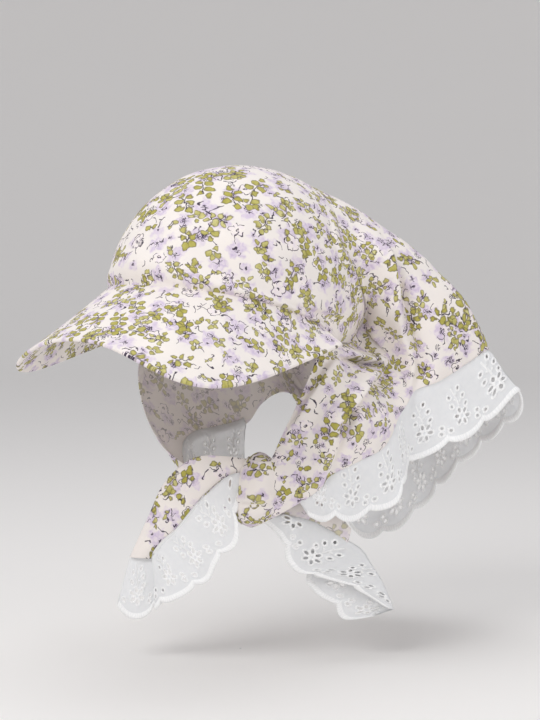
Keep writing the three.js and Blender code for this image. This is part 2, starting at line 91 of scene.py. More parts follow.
def smooth_point(rows, key, at, columns):
    return np.stack([smooth(rows, key, at, column) for column in columns.split()], axis=-1)


def lengths_along(places):
    """How far along a line of places each lies from the first."""
    return np.concatenate([[0], np.cumsum(np.linalg.norm(np.diff(places, axis=0), axis=1))])


def step(value, low, high):
    q = np.clip((value - low) / (high - low), 0, 1)
    return q * q * (3 - 2 * q)


def unit(vectors):
    return vectors / np.maximum(np.linalg.norm(vectors, axis=-1, keepdims=True), 1e-9)


def mix(a, b, share):
    return a + (b - a) * share


def ripple(places, wavelength, seed):
    """Smooth waves without a direction, from -1 to 1, the same each run."""
    draw = np.random.default_rng(seed)
    total = np.zeros(places.shape[:-1])
    count = 7
    for _ in range(count):
        wave = unit(draw.normal(size=3)) * TAU / (wavelength * draw.uniform(0.7, 1.5))
        total += np.sin(places @ wave + draw.uniform(0, TAU))
    return total / count**0.5 / 1.4


def wear(places, waves):
    """Shallow waves of worn cloth, from rows of a height, a wavelength and a seed."""
    return sum(height * ripple(places, wavelength, seed) for height, wavelength, seed in waves)


# Rows of a height, a wavelength and a seed
CROWN_WEAR = ((0.5, 30, 1), (0.8, 70, 2))
KERCHIEF_WEAR = ((0.5, 26, 3), (0.9, 60, 4))

# The head's half sizes, and the brow seam: how far round it runs on each side in degrees, its
# height in front and at its ends, and how late it drops
HEAD = np.array([86.0, 108.0, 91.0])
BROW_HEADING = 98
BROW_FRONT = 5
BROW_SIDE = -36
BROW_POWER = 2.4
REAR_SEAM = table(
    "at x y z",
    [
        [0.0, 0, 48, 82],
        [0.1, 32, 46, 76],
        [0.2, 57, 38, 58],
        [0.35, 75, 26, 37],
        [0.5, 79, 36, 17],
        [0.65, 77, 47, -1],
        [0.8, 68, 64, -19],
        [0.9, 64, 66, -34],
        [1.0, 70, 44, -41],
    ],
)
LEFT_STRAP = table(
    "at x y z",
    [
        [1.15, 79, 14, -38.5],
        [1.3, 85, -9, -43],
        [1.5, 76, -21, -75],
        [1.7, 70, -27, -93],
        [1.85, 60, -33, -112],
        [2.0, 50, -37, -127],
    ],
)
RIGHT_STRAP = table(
    "at x y z",
    [
        [-2.0, 36, -33, -139],
        [-1.85, -4, -35, -137],
        [-1.7, -44, -36, -121],
        [-1.5, -73, -34, -77],
        [-1.3, -85, -12, -44],
        [-1.15, -79, 14, -38.5],
    ],
)
MIRROR = {"at": -1, "x": -1, "y": 1, "z": 1}
LONG_EDGE = {
    name: np.concatenate(
        [
            RIGHT_STRAP[name],
            sign * REAR_SEAM[name][:0:-1],
            REAR_SEAM[name],
            LEFT_STRAP[name],
        ]
    )
    for name, sign in MIRROR.items()
}


# The crown puffs out over the brow seam: its height in mm, how far up the crown its middle lies,
# its width and the share of its height that is left on the wearer's right
PUFF_HEIGHT = 3.6
PUFF_MIDDLE = 0.09
PUFF_WIDTH = 0.055
PUFF_RIGHT_SHARE = 0.2


def head_normal(places):
    return unit(places / HEAD**2)


def brow_seam(degrees):
    angle = np.radians(degrees)
    z = BROW_FRONT + (BROW_SIDE - BROW_FRONT) * np.abs(degrees / BROW_HEADING) ** BROW_POWER
    level = np.sqrt(1 - (z / HEAD[2]) ** 2)
    return np.stack([HEAD[0] * np.sin(angle) * level, -HEAD[1] * np.cos(angle) * level, z], axis=-1)


def long_edge(at):
    places = smooth_point(LONG_EDGE, "at", at, "x y z")
    on_head = unit(places / HEAD) * HEAD
    return np.where(np.abs(at)[..., None] <= 1, on_head, places)


def crown_point(u, v):
    """The dome, from the brow seam (v 0) to the rear seam (v 1)."""
    start = unit(brow_seam(u * BROW_HEADING) / HEAD)
    end = unit(long_edge(u) / HEAD)
    angle = np.arccos(np.clip((start * end).sum(-1, keepdims=True), -1, 1))
    share = v[..., None]
    return (start * np.sin((1 - share) * angle) + end * np.sin(share * angle)) / np.sin(angle) * HEAD


# The peak: how far round the brow it is sewn in degrees, its half width, how far it reaches in
# front and the power of its outline, the heights of its crest, corners and ends, the powers of its
# arch and of its rise to the ends, and how far its middle sags
PEAK_HEADING = 86
PEAK_HALF = 102
PEAK_FRONT = 170
PEAK_POWER = 4
PEAK_CREST = -29
PEAK_CORNER = -79
PEAK_END = -37
PEAK_ARCH = 2.2
PEAK_RISE = 0.8
PEAK_SAG = -1
PEAK_THICKNESS = 2.6


def peak_edge(u):
    angle = np.pi / 2 * step(np.abs(u), 0, 1)
    back = -HEAD[1] * math.cos(math.radians(PEAK_HEADING))
    side = np.sin(angle) ** (2 / PEAK_POWER)
    reach = np.clip(np.cos(angle), 0, None) ** (2 / PEAK_POWER)
    arch = side**PEAK_ARCH
    z = PEAK_CREST + (PEAK_CORNER - PEAK_CREST) * arch
    z = z + (PEAK_END - PEAK_CORNER) * (1 - reach) ** PEAK_RISE * arch
    return np.stack([PEAK_HALF * np.sign(u) * side, back - (PEAK_FRONT + back) * reach, z], axis=-1)


def peak_point(u, v):
    """The peak, from the brow seam (v 0) to its edge (v 1)."""
    places = mix(brow_seam(u * PEAK_HEADING), peak_edge(u), v[..., None])
    places[..., 2] += PEAK_SAG * np.sin(np.pi * v) * np.cos(u * np.pi / 2)
    return places


# The kerchief: the hem is where the trim is sewn on, and the edge is where the trim ends
RIB_HANDLE = 0.25
RIBS = table(
    "at hem_x hem_y hem_z edge_x edge_y edge_z bulge",
    [
        [-2.0, 38, -31, -160, 38, -30, -170, 1],
        [-1.85, 4, -29, -160, 6, -26, -178, 2],
        [-1.7, -24, -24, -146, -12, -20, -172, 3],
        [-1.5, -42, -14, -126, -26, -18, -160, 4],
        [-1.3, -51, 8, -119, -36, 0, -152, 5],
        [-1.15, -54, 41, -117, -42, 31, -153, 5],
        [-1.06, -51, 68, -112, -48, 60, -148, 4],
        [-0.98, -44, 79, -96, -42, 82, -120, 4],
        [-0.92, -33, 92, -88, -32, 95, -110, 5],
        [-0.86, -24, 114, -104, -24, 118, -130, 8],
        [-0.8, -12, 136, -150, -15, 141, -190, 10],
        [-0.7, 5, 152, -168, 5, 158, -212, 12],
        [-0.55, 27, 164, -150, 33, 176, -193, 13],
        [-0.4, 48, 165, -127, 57, 176, -170, 13],
        [-0.25, 69, 163, -105, 82, 175, -147, 13],
        [-0.1, 95, 158, -86, 108, 170, -126, 13],
        [0.05, 121, 149, -66, 140, 166, -104, 12],
        [0.2, 131, 131, -50, 149, 151, -82, 12],
        [0.4, 128, 115, -57, 143, 125, -103, 12],
        [0.65, 119, 92, -69, 128, 99, -117, 11],
        [0.85, 107, 69, -79, 113, 73, -129, 10],
        [1.0, 111, 49, -96, 117, 49, -141, 10],
        [1.15, 112, 32, -113, 118, 35, -157, 9],
        [1.3, 105, 13, -122, 107, 11, -166, 7],
        [1.5, 93, -5, -132, 95, -7, -166, 5],
        [1.7, 82, -17, -147, 85, -15, -166, 3],
        [1.85, 70, -27, -156, 74, -24, -166, 2],
        [2.0, 60, -34, -153, 62, -32, -160, 1],
    ],
)

# Broad soft folds: where they start on the long edge and how far they lean
SOFT_FOLDS = table(
    "at lean width height",
    [
        [0.15, 0.02, 0.1, 4],
        [-0.1, 0.05, 0.09, 6],
        [-0.35, 0.0, 0.08, 6],
        [-0.6, -0.05, 0.06, 6],
    ],
)


def soft_folds(at, across):
    rise = np.sin(np.pi * np.minimum(across, 1) ** 0.8) + 0.6 * across**2 * (2 - across)
    total = np.zeros(np.shape(at))
    for start, lean, width, height in zip(*SOFT_FOLDS.values()):
        total += height * np.exp(-(((at - start - lean * across) / width) ** 2)) * rise
    return total * (1 - step(np.abs(at), 1.6, 1.8))


def kerchief_base(at, across):
    """The kerchief from its long edge (across 0) to its hem (1) and the trim's edge (2)."""
    start = long_edge(at)
    hem = smooth_point(RIBS, "at", at, "hem_x hem_y hem_z")
    edge = smooth_point(RIBS, "at", at, "edge_x edge_y edge_z")
    bulge = smooth(RIBS, "at", at, "bulge")[..., None]
    out = head_normal(start)
    out[..., 2] *= 1 - 0.8 * step(np.abs(at), 0.98, 1.1)
    out = unit(out)
    direct = unit(hem - start)
    along = unit(start - crown_point(np.clip(at, -1, 1), np.full(np.shape(at), 0.98)))
    on_crown = step(1 - np.abs(at), 0, 0.2)[..., None]
    leave = unit(mix(direct, along, on_crown))
    length = np.linalg.norm(hem - start, axis=-1, keepdims=True)
    first = start + leave * RIB_HANDLE * length
    second = mix(hem, start, 0.4) + out * 2 * bulge
    q = np.minimum(across, 1)[..., None]
    places = start * (1 - q) ** 3 + 3 * first * q * (1 - q) ** 2
    places = places + 3 * second * q**2 * (1 - q) + hem * q**3
    places = places + (edge - hem) * np.maximum(across - 1, 0)[..., None]
    return places + out * soft_folds(at, across)[..., None]


def surface_normal(surface, a, b, reach=0.01):
    along = surface(a + reach, b) - surface(a - reach, b)
    low = np.maximum(b - reach, 0)
    across = surface(a, low + 2 * reach) - surface(a, low)
    return unit(np.cross(along, across))


# Sharper folds: each follows a line of places on a surface. Seen from outside, one that runs down
# rises gently on its left and falls steeply on its right, with a trough beyond, and its crest may
# lean over the steep side.
TROUGH = 0.55
TROUGH_WIDTH = 2.6


def raise_folds(places, normals, surface, folds):
    """Lifts places along their normals where they lie near a fold's line on the surface."""
    moved = places.copy()
    for rows, gentle, steep, lean in folds:
        stops = np.linspace(0, 1, len(rows["height"]))
        fine = np.linspace(0, 1, 8 * len(stops))
        numbered = {**rows, "stop": stops}
        a, b, height = (smooth(numbered, "stop", fine, name) for name in rows)
        line = surface(a, b)
        up = surface_normal(surface, a, b)
        tangent = unit(np.gradient(line, axis=0))
        side = unit(np.cross(up, tangent))
        near = np.linalg.norm(places[:, None] - line[None, ::4], axis=-1).min(1)
        close = np.flatnonzero(near < 4 * max(gentle, steep))
        gap = places[close, None] - line[None]
        nearest = np.linalg.norm(gap, axis=-1).argmin(1)
        offset = gap[np.arange(len(close)), nearest]
        away = (offset * side[nearest]).sum(-1)
        beyond = (offset**2).sum(-1) - away**2
        fade = np.exp(-beyond / gentle**2) * height[nearest]
        crest = np.exp(-((away / np.where(away < 0, gentle, steep)) ** 2))
        sunk = np.exp(-((away / (TROUGH_WIDTH * steep)) ** 2))
        shape = np.where(away < 0, crest, crest + TROUGH * (crest - sunk)) * fade
        moved[close] += normals[close] * shape[:, None]
        moved[close] += side[nearest] * (lean * crest * fade)[:, None]
    return moved


def fold(rows, gentle, steep, lean=0.0):
    """A fold's line with its height, its widths on both sides and how far its crest leans."""
    return table("along across height", rows), gentle, steep, lean


def far_side(folds, share):
    """The same folds a little lower on the wearer's right, seen in a mirror."""
    turned = []
    for rows, gentle, steep, lean in folds:
        sign = {"along": -1, "across": 1, "height": share}
        flipped = {name: sign[name] * column[::-1] for name, column in rows.items()}
        turned.append((flipped, gentle, steep, lean))
    return turned


LONG_FOLD = fold(
    [
        [0.2, 0.26, 1],
        [0.26, 0.31, 5],
        [0.34, 0.35, 8],
        [0.46, 0.38, 10],
        [0.58, 0.4, 11],
        [0.66, 0.46, 11],
        [0.74, 0.57, 10],
        [0.79, 0.71, 8],
        [0.85, 0.82, 5],
        [0.9, 0.9, 2],
    ],
    15,
    4,
    0.6,
)
ROLL = fold(
    [[0.94, 0.4, 6], [0.96, 0.27, 10], [1.03, 0.15, 10], [1.11, 0.1, 9], [1.16, 0.1, 5]],
    5,
    3.2,
    1.1,
)
SEAM_SWELL = fold([[0.66, 0.26, 1], [0.76, 0.3, 6], [0.84, 0.33, 8], [0.92, 0.44, 4]], 11, 9)
STRAP_FOLD = fold(
    [
        [0.97, 0.41, 6],
        [1.14, 0.43, 9],
        [1.23, 0.49, 9],
        [1.31, 0.55, 8],
        [1.39, 0.56, 7],
        [1.43, 0.64, 6],
        [1.5, 0.77, 4],
        [1.6, 0.92, 3],
    ],
    9,
    3.5,
    0.4,
)
FRONT_FOLD = fold(
    [[1.66, 0.16, 2], [1.55, 0.2, 4], [1.45, 0.21, 5], [1.39, 0.23, 5], [1.33, 0.22, 4], [1.25, 0.2, 3]],
    8,
    3.5,
    0.4,
)
SIDE_FOLD = fold(
    [[1.41, 0.86, 1], [1.33, 0.79, 3], [1.29, 0.73, 4], [1.26, 0.65, 4], [1.21, 0.54, 2]],
    9,
    4,
)
BACK_FOLDS = [
    fold([[0.1, 0.25, 1], [0.12, 0.5, 4], [0.16, 0.75, 5], [0.2, 1.0, 3]], 14, 6, 0.2),
    fold([[-0.3, 0.2, 1], [-0.33, 0.5, 5], [-0.38, 0.8, 5], [-0.42, 1.0, 3]], 14, 5, 0.2),
]
KERCHIEF_FOLDS = [LONG_FOLD, ROLL, SEAM_SWELL, STRAP_FOLD, FRONT_FOLD, SIDE_FOLD, *BACK_FOLDS]
KERCHIEF_FOLDS += far_side([LONG_FOLD, ROLL, FRONT_FOLD], 0.55)

CROWN_FOLDS = [
    fold([[0.77, 0.6, 1], [0.71, 0.42, 3], [0.64, 0.25, 3], [0.56, 0.13, 1]], 8, 4, 0.3),
    fold([[0.8, 0.92, 1], [0.62, 0.93, 2], [0.45, 0.93, 2], [0.25, 0.95, 1]], 6, 3),
]
CROWN_FOLDS += far_side(CROWN_FOLDS, 0.7)


# The tie ends hang in a plane turned by this angle, so that a place on them is a distance
# across, a distance towards the front left, and a height
TIE_TURN = math.radians(40)
# Height of the knot's pleats, and its middle and half sizes at each drop below the head's middle
KNOT_PLEAT = 0.9
KNOT = table(
    "drop across toward half_width half_depth",
    [
        [117, 15, 55, 5, 6],
        [123, 15, 56, 9, 10],
        [133, 14, 57, 12, 13],
        [146, 13, 57, 13, 14],
        [159, 12, 56, 13, 13],
        [167, 10, 54, 10, 10],
        [172, 9, 53, 5, 5],
    ],
)


def tie_place(places):
    across, toward, height = places[..., 0], places[..., 1], places[..., 2]
    turn = [math.cos(TIE_TURN), math.sin(TIE_TURN)]
    x = across * turn[0] + toward * turn[1]
    y = across * turn[1] - toward * turn[0]
    return np.stack([x, y, height], axis=-1)


def knot_base(share, around):
    """The knot's wrap from its top (share 0) to its bottom (1), and round it."""
    drop = mix(KNOT["drop"][0], KNOT["drop"][-1], share)
    across = smooth(KNOT, "drop", drop, "across")
    toward = smooth(KNOT, "drop", drop, "toward")
    closing = np.sqrt(np.clip(1 - np.abs(2 * share - 1) ** 12, 0, 1))
    wide = smooth(KNOT, "drop", drop, "half_width") * closing
    deep = smooth(KNOT, "drop", drop, "half_depth") * closing
    x = across + wide * np.cos(around)
    y = toward + deep * np.sin(around)
    return tie_place(np.stack([x, y, -drop], axis=-1))


# Past this place the near strap's end wraps round the knot, from its right to its left. Its upper
# and lower edges lie at these shares of the knot's height, first where it starts and then where it
# ends, and the lead is how far before its start the strap comes in.
WRAP_FROM = 1.7
WRAP_START = math.radians(38)
WRAP_TURN = math.radians(165)
WRAP_LEAD = 0.5
WRAP_UPPER = (0.1, 0.06)
WRAP_LOWER = (0.9, 0.97)
WRAP_CLEAR = 1.6
# A ridge and a crease along it: height, middle across, drift, width, and from where to where it grows
WRAP_RIDGES = ((3.0, 0.42, 0.25, 0.08, 0.3, 0.6), (-2.6, 0.74, -0.1, 0.06, 0.4, 0.7))


def wrap(share, across):
    """The strap's end on the knot: half the share brings it there and half goes round it."""
    round_it = np.clip(2 * share - 1, 0, 1)
    down = mix(mix(*WRAP_UPPER, round_it), mix(*WRAP_LOWER, round_it), np.clip(across, 0, 1))
    around = WRAP_START + WRAP_TURN * round_it - WRAP_LEAD * np.clip(1 - 2 * share, 0, 1)
    places = knot_base(down, around)
    drop = mix(KNOT["drop"][0], KNOT["drop"][-1], down)
    middle = [smooth(KNOT, "drop", drop, name) for name in ("across", "toward")]
    middle = tie_place(np.stack([*middle, -drop], axis=-1))
    lift = np.full(np.shape(across), WRAP_CLEAR)
    for height, crest, drift, width, start, end in WRAP_RIDGES:
        off = (across - crest - drift * share) / width
        lift += height * np.exp(-(off**2)) * step(share, start, end)
    return places + unit(places - middle) * lift[..., None]


def kerchief_places(at, across):
    """The kerchief's places with all folds, for lists of at and across."""
    base = kerchief_base(at, across)
    normals = surface_normal(kerchief_base, at, across)
    creased = raise_folds(base, normals, kerchief_base, KERCHIEF_FOLDS)
    worn = wear(base, KERCHIEF_WEAR)
    calm = step(across, 0, 0.15)
    places = creased + normals * (worn * calm)[:, None]
    share = np.clip((at - WRAP_FROM) / (2 - WRAP_FROM), 0, 1)
    brought = step(share, 0, 0.55) * (across <= 1.001)
    return mix(places, wrap(share, across), brought[:, None])


HEM_STEPS = 1600
HEM_AT = np.linspace(-2, 2, HEM_STEPS + 1)
HEM_PLACES = kerchief_base(HEM_AT, np.ones(HEM_STEPS + 1))
HEM_LENGTH = lengths_along(HEM_PLACES)

# The kerchief's columns are spaced partly by the hem's length and partly evenly along the table,
# by this share, and the wrap has columns of its own
KERCHIEF_COLUMNS = 430
KERCHIEF_ROWS = 100
EVEN_SHARE = 0.35
WRAP_COLUMNS = 60

# The eyelet trims, and where each starts and ends along the kerchief
TRIMS = {"trim_right": (-1.75, -1.06), "trim_back": (-0.78, 0.145), "trim_left": (0.15, 1.75)}
SCALLOP = 30
SCALLOP_DIP = 5.5
RUFFLE_HEIGHT = 4
RUFFLE_LENGTH = 62
# The trim is sewn on under the printed hem
TUCK = 0.9

LEFT_END = table(
    "ax at az bx bt bz",
    [
        [14, 55, -123, 14, 57, -130],
        [-13, 52, -120, -8, 57, -134],
        [-31, 50, -121, -25, 58, -147],
        [-45, 46, -130, -36, 56, -160],
        [-57, 43, -144, -47, 52, -174],
        [-66, 41, -164, -56, 49, -182],
        [-76, 40, -186, -63, 46, -191],
        [-81, 40, -197, -65, 44, -197],
    ],
)
LEFT_END_TRIM = table(
    "ax at az bx bt bz",
    [
        [13, 59, -130, 13, 60, -137],
        [-7, 60, -133, 1, 63, -149],
        [-24, 62, -147, 1, 66, -170],
        [-35, 60, -160, -3, 66, -186],
        [-46, 56, -174, -16, 63, -199],
        [-55, 53, -183, -24, 60, -214],
        [-61, 51, -191, -44, 58, -224],
        [-64, 49, -195, -61, 54, -235],
        [-57, 44, -194, -55, 47, -227],
        [-66, 41, -194, -66, 44, -240],
        [-74, 39, -194, -79, 41, -243],
        [-80, 38, -194, -92, 38, -238],
    ],
)
RIGHT_END = table(
    "ax at az bx bt bz",
    [
        [16, 51, -164, 20, 53, -146],
        [34, 52, -168, 40, 53, -149],
        [49, 52, -172, 56, 53, -153],
        [63, 52, -178, 72, 52, -163],
        [79, 51, -186, 82, 51, -174],
    ],
)
RIGHT_END_TRIM = table(
    "ax at az bx bt bz cx ct cz",
    [
        [12, 52, -166, 20, 55, -160, 14, 44, -164],
        [27, 51, -177, 50, 55, -166, 34, 42, -174],
        [31, 50, -191, 65, 55, -173, 42, 41, -187],
        [37, 50, -201, 79, 53, -182, 45, 40, -199],
        [45, 50, -208, 90, 50, -190, 46, 40, -213],
        [63, 50, -211, 97, 49, -201, 55, 40, -222],
        [79, 48, -217, 105, 46, -214, 67, 39, -234],
        [94, 46, -224, 111, 44, -228, 77, 37, -244],
        [105, 44, -232, 114, 42, -236, 94, 36, -244],
    ],
)

# The tie ends' trims: node, rows, and where across them the seam or fold and the free edge lie
TIE_TRIMS = (
    ("tie_trim_left", LEFT_END_TRIM, 0, 1),
    ("tie_trim_right", RIGHT_END_TRIM, 1, 0),
    ("tie_trim_right", RIGHT_END_TRIM, 1, 2),
)


def tie_base(rows):
    """The surface of a tie end: along its rows, across from edge a to b and round to edge c."""
    numbered = {**rows, "stop": np.linspace(0, 1, len(rows["ax"]))}

    def surface(along, across):
        a = smooth_point(numbered, "stop", along, "ax at az")
        b = smooth_point(numbered, "stop", along, "bx bt bz")
        q = np.minimum(across, 1)[..., None]
        front = mix(a, b, q)
        front[..., 1] += 1.5 * np.sin(np.pi * q[..., 0])
        if "cx" not in rows:
            return tie_place(front)
        c = smooth_point(numbered, "stop", along, "cx ct cz")
        r = np.clip(across - 1, 0, 1)[..., None]
        back = mix(b + np.array([0.5, -5, -0.5]), c, r)
        back[..., 1] -= np.sin(np.pi * r[..., 0])
        turned = step(across, 0.94, 1.06)[..., None]
        return tie_place(mix(front, back, turned))

    return surface


# Colours and nodes
def linear(code):
    """An sRGB hex value as linear red, green, blue and alpha."""
    parts = [int(code[k : k + 2], 16) / 255 for k in (1, 3, 5)]
    return tuple(c / 12.92 if c <= 0.04045 else ((c + 0.055) / 1.055) ** 2.4 for c in parts) + (1.0,)


def add(tree, kind, *inputs, **settings):
    """Adds a node with its settings. Inputs fill its sockets in order, or by name from a dict."""
    node = tree.nodes.new("ShaderNode" + kind)
    for name, value in settings.items():
        setattr(node, name, value)
    filled = {}
    for k, value in enumerate(inputs):
        filled.update(value if isinstance(value, dict) else {k: value})
    for key, value in filled.items():
        if isinstance(value, bpy.types.Node):
            value = value.outputs[0]
        if isinstance(value, bpy.types.NodeSocket):
            tree.links.new(value, node.inputs[key])
        elif value is not None:
            node.inputs[key].default_value = value
    return node


# A colour mix's sockets: the factor is input 0
MIX_A = 6
MIX_B = 7
MIX_COLOUR = 2


def new_material(name, look):
    """An empty material of one shader with this look, for its colour and bumps to be added."""
    material = bpy.data.materials.new(name)
    material.use_nodes = True
    tree = material.node_tree
    tree.nodes.clear()
    shader = add(tree, "BsdfPrincipled", look)
    add(tree, "OutputMaterial", shader)
    return material, tree, shader


# Drawn lines on the cloth stray by up to half of this many millimetres
HAND_SHAKE = 3.4
# The size of each motif is divided by a factor from the first of these to the sum of both
MOTIF_SHRINK = (0.88, 0.35)


def cloth_places(tree):
    """Places on the uncut cloth in millimetres, a little unsteady like a drawn line."""
    flat = add(tree, "UVMap", uv_map="cloth")
    scaled = add(tree, "VectorMath", flat, {"Scale": 1 / MM}, operation="SCALE")
    hand = add(tree, "TexNoise", scaled, {"Scale": 0.24, "Detail": 1.0}, noise_dimensions="2D")
    centred = add(tree, "VectorMath", hand.outputs["Color"], (0.5, 0.5, 0.5), operation="SUBTRACT")
    shaken = add(tree, "VectorMath", centred, {"Scale": HAND_SHAKE}, operation="SCALE")
    return add(tree, "VectorMath", scaled, shaken, operation="ADD")


def scattered(tree, cloth, size, spread, chance, shift):
    """Scatters a motif over cells of this size, each turned and sized by chance. Gives the place
    in the motif, whether it is printed there and a tone of its own."""
    turn = {"Location": (shift, 2.3 * shift, 0), "Rotation": (0, 0, shift)}
    layer = add(tree, "Mapping", cloth, turn)
    settings = {"Scale": 1 / size, "Randomness": spread}
    cells = add(tree, "TexVoronoi", layer, settings, voronoi_dimensions="2D")
    local = add(tree, "VectorMath", layer, cells.outputs["Position"], operation="SUBTRACT")
    draws = add(tree, "SeparateColor", cells.outputs["Color"])
    spin = add(tree, "Math", draws.outputs[0], TAU, operation="MULTIPLY")
    turned = add(tree, "VectorRotate", local, {"Angle": spin}, rotation_type="Z_AXIS")
    least, more = MOTIF_SHRINK
    grown = add(tree, "Math", draws.outputs[1], more, least, operation="MULTIPLY_ADD")
    place = add(tree, "VectorMath", turned, {"Scale": grown}, operation="SCALE")
    shown = add(tree, "Math", draws.outputs[2], chance, operation="LESS_THAN")
    return place, shown, draws.outputs[1]


def polar(tree, place):
    xy = add(tree, "SeparateXYZ", place)
    radius = add(tree, "VectorMath", place, operation="LENGTH").outputs["Value"]
    return radius, add(tree, "Math", xy.outputs[1], xy.outputs[0], operation="ARCTAN2")


def line_mask(tree, distance, width):
    """1 on a line of this width in mm and 0 beside it, from the distance to its middle."""
    away = add(tree, "Math", distance, operation="ABSOLUTE")
    edges = {"From Min": width * 0.75, "From Max": width * 0.3}
    return add(tree, "MapRange", away, edges, interpolation_type="SMOOTHSTEP")


def both(tree, first, second):
    return add(tree, "Math", first, second, operation="MULTIPLY")


def either(tree, first, second):
    return add(tree, "Math", first, second, operation="MAXIMUM")


def five_petals(tree, angle):
    """From 0 between two petals to 1 at a petal's tip."""
    wave = add(tree, "Math", both(tree, angle, 2.5), operation="COSINE")
    return add(tree, "Math", wave, operation="ABSOLUTE")


# Sprays of leaves in millimetres from their middle: each leaf's middle, the way it points in
# degrees, its length and its width
BRANCH = table(
    "x y tilt length width",
    [
        [-6.6, -2.6, 215, 4.6, 3.1],
        [-3.9, 3.4, 115, 5.2, 3.5],
        [-0.3, -3.2, 245, 4.8, 2.9],
        [2.6, 3.4, 60, 5.6, 3.7],
        [5.4, -2.4, 310, 3.6, 2.6],
        [8.6, 2.4, 15, 4.6, 2.7],
    ],
)
WHORL = table(
    "x y tilt length width",
    [
        [3.7, 0.5, 5, 5.4, 3.9],
        [0.9, 3.6, 80, 4.2, 3.3],
        [-3.4, 1.6, 160, 5.2, 2.9],
        [-0.9, -3.4, 255, 3.4, 2.6],
    ],
)
PAIR = table("x y tilt length width", [[2.4, 0.5, 10, 4.6, 2.9], [-2.1, -1.3, 215, 3.3, 2.3]])
# Ink lines show at 0.4 mm on the real print, under a pixel here, so they are drawn wider
INK_LINE = 0.62
# The print's layers: the size of the cells in millimetres, how far a motif strays from its cell's
# middle (left out for strokes and berries), the share of cells that have one and a shift of the
# layer's own. Then comes the reach of a flower, a stroke or a heap of berries in millimetres, with
# the angle from which a stroke is drawn, or the leaves of a spray.
WASHED_FLOWERS = ((20, 0.35, 0.95, 0.4, 9.4), (15, 0.4, 0.5, 5.1, 5.6))
DRAWN_FLOWER = (25, 0.4, 0.62, 9.7, 5.6)
STROKES = (
    (13, 0.4, 2.9, 2.6, 0.9),
    (10, 0.2, 7.3, 1.2, -0.8),
    (19, 0.7, 4.4, 5.4, 1.6),
    (24, 0.7, 6.6, 8.5, 2.1),
)
BERRIES = (23, 0.5, 6.1, 2.9)
SPRAYS = (
    (21, 0.35, 0.46, 1.7, BRANCH),
    (16, 0.4, 0.3, 3.8, WHORL),
    (11.5, 0.5, 0.27, 8.2, PAIR),
)
# How strongly the dye of each covers what is under it
WASH_STRENGTH = 0.92
PETAL_STRENGTH = 0.85
LEAF_LINE_STRENGTH = 0.62


def leaves(tree, place, rows):
    """How far a place lies outside the nearest leaf of a spray in millimetres, below 0 inside."""
    nearest = None
    for x, y, tilt, length, width in zip(*rows.values()):
        leaf = {
            "Location": (x, y, 0),
            "Rotation": (0, 0, math.radians(tilt)),
            "Scale": (length / 2, width / 2, 1),
        }
        xy = add(tree, "SeparateXYZ", add(tree, "Mapping", place, leaf, vector_type="TEXTURE"))
        ahead = both(tree, xy.outputs[0], xy.outputs[0])
        aside = both(tree, xy.outputs[1], xy.outputs[1])
        narrowing = add(tree, "Math", xy.outputs[0], 0.3, 0.75, operation="MULTIPLY_ADD", use_clamp=True)
        level = add(tree, "Math", aside, narrowing, ahead, operation="MULTIPLY_ADD")
        away = add(tree, "Math", level, width / 4, -width / 4, operation="MULTIPLY_ADD")
        nearest = add(tree, "Math", nearest, away, operation="MINIMUM") if nearest else away
    return nearest


def spray(tree, cloth, size, spread, chance, shift, rows):
    """Leaves and the bowed stem that they grow from: fill, outline, stem and tone."""
    place, shown, tone = scattered(tree, cloth, size, spread, chance, shift)
    away = leaves(tree, place, rows)
    fill = add(tree, "MapRange", away, {"From Min": 0.12, "From Max": -0.12})
    outline = line_mask(tree, away, INK_LINE)
    xy = add(tree, "SeparateXYZ", place)
    bow = add(tree, "Math", tone, 0.12, -0.06, operation="MULTIPLY_ADD")
    square = both(tree, xy.outputs[0], xy.outputs[0])
    off = add(tree, "Math", xy.outputs[1], both(tree, square, bow), operation="SUBTRACT")
    reach = add(tree, "Math", xy.outputs[0], operation="ABSOLUTE")
    within = add(tree, "Math", reach, size * 0.34, operation="LESS_THAN")
    stem = both(tree, line_mask(tree, off, INK_LINE), both(tree, within, shown))
    return both(tree, fill, shown), both(tree, outline, shown), stem, tone


def washed_flower(tree, cloth, size, spread, chance, shift, reach):
    """A flower of five soft petals with a crooked star of ink at its heart: wash and ink."""
    place, shown, tone = scattered(tree, cloth, size, spread, chance, shift)
    radius, angle = polar(tree, place)
    petals = five_petals(tree, angle)
    rim = add(tree, "Math", petals, reach * 0.2, reach * 0.7, operation="MULTIPLY_ADD")
    wash = add(tree, "TexNoise", cloth, {"Scale": 0.2, "Detail": 2.0}, noise_dimensions="2D")
    ragged = add(tree, "Math", wash, reach, -reach * 0.5, operation="MULTIPLY_ADD")
    inside = add(tree, "Math", rim, ragged, operation="ADD")
    inside = add(tree, "Math", inside, radius, operation="SUBTRACT")
    edges = {"From Min": -0.6, "From Max": 3.4}
    fill = add(tree, "MapRange", inside, edges, interpolation_type="SMOOTHSTEP")
    crook = add(tree, "TexNoise", cloth, {"Scale": 0.3, "Detail": 0.0}, noise_dimensions="2D")
    swing = add(tree, "Math", crook, 3.2, angle, operation="MULTIPLY_ADD")
    ray = add(tree, "Math", both(tree, swing, 5 / TAU), operation="FRACT")
    ray = add(tree, "Math", ray, 0.5, operation="SUBTRACT")
    ray = both(tree, both(tree, ray, TAU / 5), radius)
    star = line_mask(tree, ray, INK_LINE * 0.9)
    length = add(tree, "Math", tone, reach * 0.3, reach * 0.16, operation="MULTIPLY_ADD")
    close = add(tree, "Math", radius, length, operation="LESS_THAN")
    return both(tree, fill, shown), both(tree, star, both(tree, close, shown))


